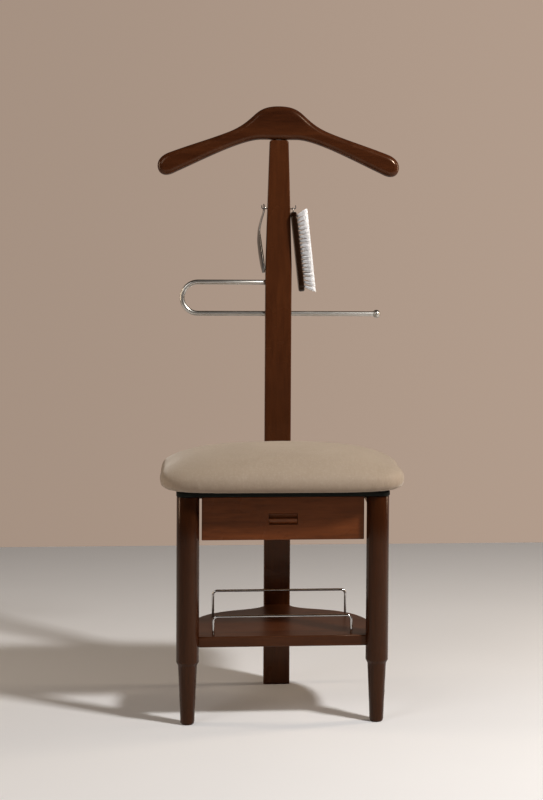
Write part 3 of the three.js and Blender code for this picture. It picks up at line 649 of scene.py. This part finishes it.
def screw(node, along, head_radius, head_height, hexagon, metal, body="frame"):
    """A screw seen at its head: a turned head with a driver recess and a ridged shank."""
    a, b, middle = low(node), high(node), centre(node)
    ends = {
        "-Z": ((middle.x, middle.y, b.z), b.z - a.z, "-Z"),
        "Z": ((middle.x, middle.y, a.z), b.z - a.z, "Z"),
        "-Y": ((middle.x, b.y, middle.z), b.y - a.y, "-Y"),
    }
    origin, length, axis = ends[along]
    shank = head_radius * 0.5
    profile = [(0, 0), (head_radius * 0.8, 0), (head_radius, head_height * 0.25), (head_radius, head_height)]
    profile += [(shank, head_height)]
    turns = max(3, int((length - head_height) / (1.6 * MM)))
    pitch = (length - head_height - shank) / turns
    for i in range(turns):
        start = head_height + pitch * i
        profile += [(shank * 0.86, start + pitch * 0.4), (shank, start + pitch * 0.9)]
    profile += [(shank * 0.3, length), (0, length)]
    piece = turned(node + "_turned", profile, origin, axis, 24)
    depth = head_height * 0.6
    outward = {"-Z": Vector((0, 0, 1)), "Z": Vector((0, 0, -1)), "-Y": Vector((0, 1, 0))}[along]
    start = Vector(origin) + outward * MM
    end = Vector(origin) - outward * depth
    if hexagon:
        carve(piece, cylinder("recess", start, end, head_radius * 0.52, 6))
    else:
        arm, half = head_radius * 0.6, head_radius * 0.11
        side = outward.orthogonal().normalized()
        for long_way in (side, outward.cross(side)):
            short_way = outward.cross(long_way)
            corners = [(-arm, -half), (arm, -half), (arm, half), (-arm, half)]
            ring = lambda p: [p + long_way * u + short_way * v for u, v in corners]
            slot_cutter = skin("slot", [ring(start), ring(end)], smooth=False)
            bm = bmesh.new()
            bm.from_mesh(slot_cutter.data)
            bmesh.ops.recalc_face_normals(bm, faces=bm.faces)
            bm.to_mesh(slot_cutter.data)
            bm.free()
            carve(piece, slot_cutter)
    finish(piece, metal, body, "zinc_steel", node)


def make_screws(metal):
    for node in ("post_bolt_1", "post_bolt_2", "shelf_bolt"):
        screw(node, "-Y", size(node).x / 2, 4 * MM, True, metal)
    for i in range(1, 5):
        screw(f"cushion_screw_{i}", "Z", 3.2 * MM, 2 * MM, False, metal)
        screw(f"runner_screw_{i}", "Z", 3.2 * MM, 2 * MM, False, metal)
    for node in ("left_leg_bolt", "right_leg_bolt", "left_apron_screw", "right_apron_screw"):
        NODES[node].data.materials.clear()
        NODES[node].data.materials.append(metal)
    NODES["drawer_pull_screw"].data.materials.clear()
    NODES["drawer_pull_screw"].data.materials.append(metal)


# ---------- seat ----------
def make_board(black, wood_x, wood_y):
    a, b = low("seat_board"), high("seat_board")
    outline = rounded_rectangle(a.x, b.x, a.y, b.y, 14 * MM)
    piece = slab("seat_board_panel", outline, "XY", a.z, b.z, 2 * MM)
    wells = []
    for i in range(1, 5):
        for kind in ("cushion_screw", "runner_screw"):
            middle = centre(f"{kind}_{i}")
            wells.append(cylinder("well", (middle.x, middle.y, a.z - MM), (middle.x, middle.y, a.z + 3 * MM), 3.5 * MM))
    carve(piece, *wells)
    even_normals(piece)
    finish(piece, black, "frame", "black_board", "seat_board")

    a, b = low("rear_apron"), high("rear_apron")
    outline = rounded_rectangle(a.x, b.x, a.z, b.z, 2 * MM, 4)
    piece = slab("rear_apron_rail", outline, "XZ", -b.y, -a.y, 1.2 * MM, 3)
    even_normals(piece)
    finish(piece, wood_x, "frame", "walnut", "rear_apron")
    for node in ("left_runner", "right_runner"):
        NODES[node].data.materials.clear()
        NODES[node].data.materials.append(wood_y)


def cushion_rings():
    """Rings of the pad: a rounded rectangle that pulls in to its crown and its underside."""
    a, b = low("seat_cushion"), high("seat_cushion")
    middle, half = (a + b) / 2, (b - a) / 2
    shrink = -2.5 * MM
    around = 160
    profile = [(0.15, 0.0), (0.045, 0.03), (0.01, 0.11), (0.0, 0.26), (0.015, 0.39), (0.07, 0.49), (0.18, 0.59), (0.36, 0.70), (0.62, 0.81), (0.95, 0.90), (1.30, 0.96), (1.60, 1.0)]
    rings = []
    for inset, rise in profile:
        pull = inset * 100 * MM + shrink
        squareness = 2.4 + 2.8 * (1 - inset / 1.6) ** 1.4
        ring = []
        for i in range(around):
            angle = 2 * math.pi * i / around
            c, s = math.cos(angle), math.sin(angle)
            u = math.copysign(abs(c) ** (2 / squareness), c)
            v = math.copysign(abs(s) ** (2 / squareness), s)
            height = a.z + 0.3 * MM + rise * (size("seat_cushion").z - 6 * MM)
            ring.append(Vector((middle.x + (half.x - pull) * u, middle.y + (half.y - pull * 0.8) * v, height)))
        rings.append(ring)
    return rings


def remesh(piece, voxel):
    modifier = piece.modifiers.new("remesh", "REMESH")
    modifier.mode = "VOXEL"
    modifier.voxel_size = voxel
    apply_modifiers(piece)


def inflate(piece, pressure, cap, held_below):
    """Blows the pad up as cloth, holding its underside, and limits how far any point moves."""
    start = np.empty(len(piece.data.vertices) * 3, np.float32)
    piece.data.vertices.foreach_get("co", start)
    start = start.reshape(-1, 3)
    group = piece.vertex_groups.new(name="held")
    group.add([v.index for v in piece.data.vertices if v.co.z < held_below], 1.0, "REPLACE")
    cloth = piece.modifiers.new("cloth", "CLOTH")
    cloth.settings.use_pressure = True
    cloth.settings.uniform_pressure_force = pressure
    cloth.settings.effector_weights.gravity = 0
    cloth.settings.vertex_group_mass = "held"
    cloth.settings.quality = 6
    cloth.settings.tension_stiffness = 12
    cloth.settings.compression_stiffness = 12
    cloth.settings.bending_stiffness = 4.0
    cloth.collision_settings.use_collision = False
    scene = bpy.context.scene
    for step in range(1, 21):
        scene.frame_set(step)
    apply_modifiers(piece)
    ease_movement(piece, start, cap)
    scene.frame_set(1)


def ease_movement(piece, start, cap):
    """Smooths how far each point moved over its neighbours, then limits it."""
    mesh = piece.data
    moved = np.empty(len(mesh.vertices) * 3, np.float32)
    mesh.vertices.foreach_get("co", moved)
    move = moved.reshape(-1, 3) - start
    edges = np.empty(len(mesh.edges) * 2, np.int32)
    mesh.edges.foreach_get("vertices", edges)
    first, second = edges[0::2], edges[1::2]
    count = np.bincount(edges, minlength=len(move))[:, None]
    for _ in range(60):
        total = np.zeros_like(move)
        np.add.at(total, first, move[second])
        np.add.at(total, second, move[first])
        move = 0.5 * move + 0.5 * total / np.maximum(count, 1)
    middle = start.mean(axis=0)
    outward = start - middle
    outward[:, 2] = 0
    outward /= np.maximum(np.linalg.norm(outward, axis=1, keepdims=True), 1e-6)
    inward = np.minimum(0, (move * outward).sum(axis=1, keepdims=True))
    move -= outward * inward * 0.85
    move *= FOAM_GIVE
    length = np.linalg.norm(move, axis=1, keepdims=True)
    move *= np.minimum(1.0, cap / np.maximum(length, 1e-9))
    mesh.vertices.foreach_set("co", (start + move).astype(np.float32).reshape(-1))
    mesh.update()


def shape_by_hand(piece, lowest, highest):
    """Adds the gathers where the cloth is pulled under and the slow unevenness of the foam."""
    mesh = piece.data
    count = len(mesh.vertices)
    points, normals = np.empty(count * 3, np.float32), np.empty(count * 3, np.float32)
    mesh.vertices.foreach_get("co", points)
    mesh.vertex_normals.foreach_get("vector", normals)
    points, normals = points.reshape(-1, 3), normals.reshape(-1, 3)
    middle = (lowest + highest) / 2
    rise = (points[:, 2] - lowest.z) / (highest.z - lowest.z)
    angle = np.arctan2(points[:, 1] - middle.y, points[:, 0] - middle.x)
    corner = np.maximum(0.0, np.sin(2 * angle) ** 2 - 0.45) / 0.55
    under = np.clip(1 - rise / 0.4, 0, 1) ** 2
    fold = np.sin(angle * 64) * 0.9 * MM * corner * under
    swell = np.array([noise.noise(Vector(p) * 9.0) for p in points]) * 1.2 * MM * np.clip(rise * 3, 0, 1)
    points[:, 0] += np.cos(angle) * fold
    points[:, 1] += np.sin(angle) * fold
    points += normals * swell[:, None]
    points[:, 2] = np.maximum(points[:, 2], lowest.z + 0.2 * MM)
    mesh.vertices.foreach_set("co", points.reshape(-1))
    mesh.update()


def make_cushion(cloth):
    piece = skin("seat_pad", cushion_rings())
    a, b = low("seat_cushion"), high("seat_cushion")
    remesh(piece, 5 * MM)
    inflate(piece, 4.0, 5 * MM, a.z + 2.5 * MM)
    smooth = piece.modifiers.new("smooth", "CORRECTIVE_SMOOTH")
    smooth.iterations = 5
    smooth.use_only_smooth = True
    subdivide = piece.modifiers.new("subdivide", "SUBSURF")
    subdivide.levels = 1
    subdivide.render_levels = 1
    apply_modifiers(piece)
    shape_by_hand(piece, a, b)
    panel_low, panel_high = low("cushion_panel"), high("cushion_panel")
    clear = Vector((0.4, 0.4, 0.4)) * MM
    pocket = box_cutter("pocket", Vector((panel_low.x, panel_low.y, a.z - MM)) - clear, panel_high + clear)
    carve(piece, pocket)
    piece.data.polygons.foreach_set("use_smooth", [True] * len(piece.data.polygons))
    finish(piece, cloth, "frame", "suede", "seat_cushion")
    return piece


# ---------- drawer ----------
def make_drawer(wood, plain_y, plain_x):
    a, b = low("drawer_front"), high("drawer_front")
    face = rounded_rectangle(a.x, b.x, a.z, b.z, 1.5 * MM, 4)
    piece = slab("drawer_face", face, "XZ", -b.y, -a.y, 1.2 * MM, 4)
    grip_low, grip_high = low("drawer_pull"), high("drawer_pull")
    gap = 0.5 * MM
    pocket_floor = a.y + 12 * MM
    pocket = box_cutter(
        "pocket",
        (grip_low.x - gap, a.y - 2 * MM, grip_low.z - gap),
        (grip_high.x + gap, pocket_floor, grip_high.z + gap),
    )
    carve(piece, pocket)
    even_normals(piece)
    finish(piece, wood, "drawer", "walnut", "drawer_front")

    lip = centre("drawer_pull").z + 1.2 * MM
    y = a.y
    back = grip_high.y
    section = [Vector((back, grip_low.z)), Vector((back, grip_high.z)), Vector((y + 5 * MM, grip_high.z))]
    section += bezier((y + 5 * MM, grip_high.z), (y + 5.4 * MM, lip + 4 * MM), (y + 5.2 * MM, lip - 0.6 * MM), (y + 3.4 * MM, lip - 0.8 * MM), 10)[1:]
    section += bezier((y + 3.4 * MM, lip - 0.8 * MM), (y + 2.4 * MM, lip - 0.8 * MM), (y + 1.8 * MM, lip), (y + 0.8 * MM, lip), 6)
    section += bezier((y + 0.8 * MM, lip), (y - 0.6 * MM, lip), (y - 0.6 * MM, lip - 1.8 * MM), (y + 0.2 * MM, lip - 2.4 * MM), 8)
    section += [Vector((y + 1.8 * MM, grip_low.z))]
    piece = slab("drawer_grip", section, "YZ", grip_low.x, grip_high.x, 0.5 * MM, 3)
    even_normals(piece)
    finish(piece, wood, "drawer", "walnut", "drawer_pull")

    for node in ("drawer_left_side", "drawer_right_side"):
        NODES[node].data.materials.clear()
        NODES[node].data.materials.append(plain_y)
    for node in ("drawer_back", "drawer_bottom"):
        NODES[node].data.materials.clear()
        NODES[node].data.materials.append(plain_x)
    for i in range(1, 5):
        NODES[f"drawer_dowel_{i}"].data.materials.clear()
        NODES[f"drawer_dowel_{i}"].data.materials.append(plain_y)


# ---------- shelf ----------
def shelf_outline():
    a, b = low("shoe_shelf"), high("shoe_shelf")
    leg = centre("right_leg")
    at = lambda x, y: (x * MM, leg.y + y * MM)
    post_half = post_half_width(0)
    back = b.y
    half = [Vector((0, a.y)), Vector((80 * MM, a.y)), Vector((159 * MM, a.y)), Vector(at(168, 12))]
    half += bezier(at(168, 12), at(169, 60), at(168, 100), at(160, 132), 14)[1:]
    half += bezier(at(160, 132), at(148, 180), at(122, 208), at(84, 224), 18)
    half += bezier(at(84, 224), at(62, 233), at(36, 240), (post_half + MM, leg.y + 262 * MM), 14)
    half += bezier((post_half + MM, leg.y + 262 * MM), (post_half, leg.y + 265 * MM), (post_half, leg.y + 268 * MM), (post_half, back), 4)
    half += [Vector((post_half, back)), Vector((0, back))]
    return mirrored(half)


def make_shelf(wood):
    a, b = low("shoe_shelf"), high("shoe_shelf")
    piece = slab("shelf_board", shelf_outline(), "XY", a.z, b.z, 2 * MM)
    cutters = []
    for node in ("left_leg", "right_leg"):
        leg, radius = centre(node), size(node).x / 2 + 0.3 * MM
        cutters.append(cylinder("notch", (leg.x, leg.y, a.z - MM), (leg.x, leg.y, b.z + MM), radius, 64))
    for node in ("front_shoe_rail", "rear_shoe_rail"):
        wire = size(node).y / 2
        for x in (low(node).x + wire, high(node).x - wire):
            y = centre(node).y
            cutters.append(cylinder("socket", (x, y, b.z + MM), (x, y, low(node).z), wire + 0.35 * MM, 32))
    carve(piece, *cutters)
    even_normals(piece)
    finish(piece, wood, "frame", "walnut", "shoe_shelf")


# ---------- brush and shoehorn ----------
def brush_frame():
    """The brush's own axes: Z along its back, X out through the bristles, origin at the ring."""
    hinge = Vector(JOINTS["brush_swing"]["pos_m"])
    lean, hang = 6.3, 1.2 * MM
    return Matrix.Translation(hinge - Vector((0, 0, hang))) @ Matrix.Rotation(math.radians(-lean), 4, "Y")


def place(piece, matrix):
    piece.data.transform(matrix)
    return piece


def make_brush(wood, metal, nylon):
    axes = brush_frame()
    ring_radius, ring_wire = 3.2 * MM, 0.8 * MM
    top = -4.7 * MM
    bottom = top - 152 * MM
    half_width, half_thick = size("brush_back").y / 2, 5.5 * MM
    outline = rounded_rectangle(-half_width, half_width, bottom, top, 14 * MM, 12)
    back = slab("brush_handle", outline, "YZ", -half_thick, half_thick, 3 * MM)
    even_normals(place(back, axes))
    finish(back, wood, "brush", "walnut", "brush_back")

    loop = [Vector((0, ring_radius * math.cos(a), ring_radius * math.sin(a))) for a in (2 * math.pi * i / 40 for i in range(40))]
    rings = []
    for i, middle in enumerate(loop):
        out = middle.normalized()
        across = Vector((1, 0, 0))
        rings.append([middle + (out * math.cos(t) + across * math.sin(t)) * ring_wire for t in (2 * math.pi * k / 14 for k in range(14))])
    points = [p for ring in rings for p in ring]
    faces = ring_faces(len(rings), 14)
    last = (len(rings) - 1) * 14
    faces += [(last + i, last + (i + 1) % 14, (i + 1) % 14, i) for i in range(14)]
    eye = from_faces("brush_eye", points, faces)
    bm = bmesh.new()
    bm.from_mesh(eye.data)
    bmesh.ops.recalc_face_normals(bm, faces=bm.faces)
    bm.to_mesh(eye.data)
    bm.free()
    place(eye, axes)
    finish(eye, metal, "brush", "satin_nickel", "brush_ring")
    collar = turned(
        "brush_eye_collar",
        [(0, 0), (2.4 * MM, 0), (2.4 * MM, 0.7 * MM), (1.3 * MM, 1.1 * MM), (1.0 * MM, 2.0 * MM), (0, 2.0 * MM)],
        (0, 0, top - 0.2 * MM),
        "Z",
        24,
    )
    place(collar, axes)
    finish(collar, metal, "brush", "satin_nickel")
    for side in (-1, 1):
        grommet = turned(
            f"brush_grommet_{'inner' if side < 0 else 'outer'}",
            [(0, 0), (2.6 * MM, 0), (2.5 * MM, 0.5 * MM), (1.9 * MM, 0.8 * MM), (1.2 * MM, 0.5 * MM), (0, 0.5 * MM)],
            (0, 0, 0),
            "X",
            24,
        )
        flip = Matrix.Rotation(math.pi, 4, "Z") if side < 0 else Matrix()
        place(grommet, axes @ Matrix.Translation((side * (half_thick - 0.1 * MM), 0, top - 7.5 * MM)) @ flip)
        finish(grommet, metal, "brush", "satin_nickel")
    make_bristles(axes, top, bottom, half_thick, nylon)


def make_bristles(axes, top, bottom, base, nylon):
    """Rows of tufts of round filaments that spread towards a trimmed, nearly flat end."""
    draw = random.Random(7)
    rows, columns, per_tuft = 18, 6, 46
    reach = 20.4 * MM
    first, last = top - 10 * MM, bottom + 10 * MM
    sides = 5
    points, faces, root = [], [], []
    for row in range(rows):
        along = row / (rows - 1)
        z = first + (last - first) * along
        for column in range(columns):
            across = column / (columns - 1) * 2 - 1
            y = across * 14.5 * MM
            flare_z = (0.5 - along) * 2 * 9 * MM * abs(2 * along - 1) ** 1.5
            flare_y = across * 4.0 * MM
            for _ in range(per_tuft):
                angle, spread = draw.uniform(0, 2 * math.pi), math.sqrt(draw.random())
                du, dv = math.cos(angle) * spread, math.sin(angle) * spread
                foot = Vector((base - 0.2 * MM, y + du * 1.5 * MM, z + dv * 1.7 * MM))
                tip = Vector((
                    base + reach + draw.uniform(-0.5, 0.4) * MM,
                    y + flare_y + du * 3.6 * MM + draw.uniform(-0.3, 0.3) * MM,
                    z + flare_z + dv * 4.7 * MM + draw.uniform(-0.3, 0.3) * MM,
                ))
                bow = Vector((0, du, dv)) * draw.uniform(-0.3, 0.5) * MM
                for t, radius in ((0.0, 0.30), (0.22, 0.30), (0.6, 0.29), (1.0, 0.24)):
                    fan = t**0.8
                    middle = Vector((foot.x + (tip.x - foot.x) * t, *foot.yz.lerp(tip.yz, fan)))
                    middle += bow * math.sin(math.pi * t)
                    start = len(points)
                    for k in range(sides):
                        a = 2 * math.pi * k / sides
                        points.append(axes @ (middle + Vector((0, math.cos(a), math.sin(a))) * radius * MM))
                        # Weight of the painted shade at the tuft roots, strongest at the base.
                        root.append((1 - t) ** 2)
                    if t > 0:
                        for k in range(sides):
                            j = (k + 1) % sides
                            faces.append((start - sides + k, start - sides + j, start + j, start + k))
                    else:
                        faces.append(tuple(start + k for k in reversed(range(sides))))
                faces.append(tuple(len(points) - sides + k for k in range(sides)))
    piece = from_faces("brush_tufts", points, faces)
    values = piece.data.attributes.new("root", "FLOAT", "POINT")
    values.data.foreach_set("value", root)
    finish(piece, nylon, "brush", "bristle", "brush_bristles")


def smoothstep(value, start, end):
    t = min(1.0, max(0.0, (value - start) / (end - start)))
    return t * t * (3 - 2 * t)


def make_shoehorn(metal):
    """A thin channel that bows away from the post, wide and hollow near its lower end."""
    hinge = Vector(JOINTS["shoehorn_swing"]["pos_m"])
    inner = -high("shoehorn").x
    top, bottom = high("shoehorn").z, low("shoehorn").z
    hook_x = post_half_width(hinge.z) + 5.6 * MM
    stations = [
        (131, -1, 2.5, 8), (126, -0.4, 3.8, 12.5), (116, 0.8, 5, 15), (95, 3.8, 5.6, 15.5), (70, 7.2, 5, 13.5),
        (49, 9.8, 1, 10.5), (30, 5.2, 0.3, 9), (14, 0, 0, 8), (4, 0, 0, 7.5), (0, 0.6, 0, 5.5),
    ]
    drops = np.array([s[0] for s in stations][::-1], float)
    shifts, depths, widths = (np.array([s[k] for s in stations][::-1], float) for k in (1, 2, 3))
    rows, columns = 72, 24
    thickness = 1.4 * MM
    twist = Matrix.Rotation(math.radians(8), 4, "Z")
    pivot = Vector((-hook_x, hinge.y, 0))

    def soft(values, drop):
        """Reads a station value, eased over a few millimetres either side."""
        return float(np.mean([np.interp(drop + d, drops, values) for d in (-5, -2.5, 0, 2.5, 5)]))

    points = []
    for layer in (0.0, thickness):
        for i in range(rows + 1):
            drop = 131 * i / rows
            half = soft(widths, drop) * MM
            if drop < 7:
                half *= math.sqrt(max(0.02, 1 - ((7 - drop) / 7) ** 2))
            if drop > 121:
                half *= math.sqrt(max(0.02, 1 - ((drop - 121) / 10.2) ** 2))
            depth = soft(depths, drop) * MM
            edge = hook_x + soft(shifts, drop) * MM
            for j in range(columns + 1):
                u = j / columns * 2 - 1
                point = Vector((-(edge + depth * (1 - u * u) + layer), hinge.y + half * u, top - drop * MM))
                points.append(pivot + twist @ (point - pivot))
    grid = (rows + 1) * (columns + 1)
    index = lambda layer, i, j: layer * grid + i * (columns + 1) + j
    faces = []
    for i in range(rows):
        for j in range(columns):
            faces.append((index(0, i, j), index(0, i + 1, j), index(0, i + 1, j + 1), index(0, i, j + 1)))
            faces.append((index(1, i, j), index(1, i, j + 1), index(1, i + 1, j + 1), index(1, i + 1, j)))
    for i in range(rows):
        for j in (0, columns):
            faces.append((index(0, i, j), index(1, i, j), index(1, i + 1, j), index(0, i + 1, j)))
    for j in range(columns):
        for i in (0, rows):
            faces.append((index(0, i, j), index(0, i, j + 1), index(1, i, j + 1), index(1, i, j)))
    piece = from_faces("shoehorn_blade", points, faces)
    bm = bmesh.new()
    bm.from_mesh(piece.data)
    bmesh.ops.recalc_face_normals(bm, faces=bm.faces)
    bm.to_mesh(piece.data)
    bm.free()
    hole_z = hinge.z - 1.2 * MM
    carve(piece, cylinder("hole", (-hook_x - 0.01, hinge.y, hole_z), (-hook_x + 0.01, hinge.y, hole_z), 2.4 * MM))
    even_normals(piece)
    finish(piece, metal, "shoehorn", "chrome", "shoehorn")


# ---------- stage ----------
def make_stage():
    side, front, back = 7.0, -9.0, 1.7
    corners = [(-side, front, 0), (side, front, 0), (side, back, 0), (-side, back, 0)]
    floor = from_faces("floor", corners, [(0, 1, 2, 3)], smooth=False)
    floor.data.materials.append(floor_surface())
    make_ambience()
    bpy.context.scene.view_settings.view_transform = "Standard"


def make_ambience():
    """A studio that is taupe behind the stand, dim in front of it and dark overhead."""
    world = bpy.data.worlds.new("studio")
    bpy.context.scene.world = world
    world.use_nodes = True
    tree = world.node_tree
    background = tree.nodes["Background"]
    direction = tree.nodes.new("ShaderNodeTexCoord").outputs["Generated"]
    parts = tree.nodes.new("ShaderNodeSeparateXYZ")
    tree.links.new(direction, parts.inputs[0])

    def ramp(socket, low_value, high_value, low_result, high_result):
        made = tree.nodes.new("ShaderNodeMapRange")
        made.interpolation_type = "SMOOTHSTEP"
        tree.links.new(socket, made.inputs["Value"])
        for key, value in zip(("From Min", "From Max", "To Min", "To Max"), (low_value, high_value, low_result, high_result)):
            made.inputs[key].default_value = value
        return made.outputs["Result"]

    def product(first, second):
        made = tree.nodes.new("ShaderNodeMath")
        made.operation = "MULTIPLY"
        tree.links.new(first, made.inputs[0])
        tree.links.new(second, made.inputs[1])
        return made.outputs["Value"]

    depth = ramp(parts.outputs["Y"], -0.35, 0.6, 0.28, 1.0)
    overhead = ramp(parts.outputs["Z"], 0.12, 0.6, 1.0, 0.12)
    across = ramp(parts.outputs["X"], -0.16, 0.26, 0.94, 1.12)
    tree.links.new(product(product(depth, overhead), across), background.inputs["Strength"])
    background.inputs["Color"].default_value = (0.40, 0.300, 0.236, 1)


def area_light(name, place, target, width, height, power, colour, gloss=1.0):
    data = bpy.data.lights.new(name, "AREA")
    data.shape = "RECTANGLE"
    data.size, data.size_y = width, height
    data.energy = power
    data.color = colour
    lamp = bpy.data.objects.new(name, data)
    bpy.context.scene.collection.objects.link(lamp)
    lamp.location = place
    data.specular_factor = gloss
    lamp.rotation_mode = "QUATERNION"
    lamp.rotation_quaternion = (Vector(target) - Vector(place)).to_track_quat("-Z", "Y")


def make_lights():
    middle = (0, 0, 0.55)
    area_light("key", (1.52, -1.32, 2.15), middle, 0.3, 0.3, 66, (1.0, 0.98, 0.955))
    area_light("fill", (-2.0, -2.4, 2.3), middle, 1.6, 1.6, 20, (1.0, 0.985, 0.97), 0.25)
    area_light("rim_right", (1.9, 0.25, 1.1), middle, 0.3, 1.4, 12, (1.0, 0.82, 0.62), 0.4)
    area_light("rim_left", (-1.9, 0.1, 1.0), middle, 0.3, 1.4, 9, (1.0, 0.82, 0.62), 0.4)


def make_camera():
    data = bpy.data.cameras.new("camera")
    data.lens = 85.9
    data.sensor_width = 36
    data.shift_x, data.shift_y = -0.15, -0.12
    camera = bpy.data.objects.new("camera", data)
    bpy.context.scene.collection.objects.link(camera)
    leg_line = centre("left_leg").y
    camera.location = (-0.141, leg_line - 3.352, 0.899)
    yaw, pitch, roll = (math.radians(v) for v in (-5.62, 2.64, 0.46))
    turn = Matrix.Rotation(yaw, 4, "Z") @ Matrix.Rotation(math.pi / 2 - pitch, 4, "X") @ Matrix.Rotation(roll, 4, "Z")
    camera.rotation_mode = "QUATERNION"
    camera.rotation_quaternion = turn.to_quaternion()
    bpy.context.scene.camera = camera


def dress(nodes, material):
    for node in nodes:
        NODES[node].data.materials.clear()
        NODES[node].data.materials.append(material)


wood_upright = walnut("walnut_upright", "Z")
wood_across = walnut("walnut_across", "X")
wood_deep = walnut("walnut_deep", "Y")
plain_across = raw_wood("plain_across", "X")
plain_deep = raw_wood("plain_deep", "Y")
nickel, bright, zinc = satin_nickel(), chrome(), zinc_steel()

make_camera()
make_legs(walnut("leg_wood", "Z", (0.013, 0.0030, 0.0009), (0.046, 0.0118, 0.0030), matt=-0.06))
make_post(wood_upright)
make_hanger(walnut("hanger_wood", "X", (0.022, 0.0052, 0.0018), (0.074, 0.0205, 0.0062), matt=-0.06))
make_trouser_bar(nickel)
dark_steel = chrome("dark_steel", 0.55)
make_hooks(dark_steel)
make_rails(bright)
make_screws(zinc)
make_board(black_board(), wood_across, wood_deep)
make_cushion(suede())
# Painted light: a lighter copy of the walnut, brightening the drawer front and its pull, which sit in the pad's shade.
make_drawer(walnut("drawer_wood_painted_lit", "X", (0.050, 0.0115, 0.0030), (0.170, 0.0450, 0.0120)), plain_deep, plain_across)
make_shelf(walnut("shelf_wood", "X", (0.024, 0.0058, 0.0019), (0.080, 0.0225, 0.0066), matt=0.16))
make_brush(walnut("brush_wood", "Z", (0.004, 0.0014, 0.0007), (0.013, 0.0044, 0.0018)), nickel, bristle())
make_shoehorn(dark_steel)
dress(["left_hanger_dowel", "right_hanger_dowel", "left_shelf_dowel", "right_shelf_dowel", "cushion_panel"], plain_across)
make_stage()
make_lights()
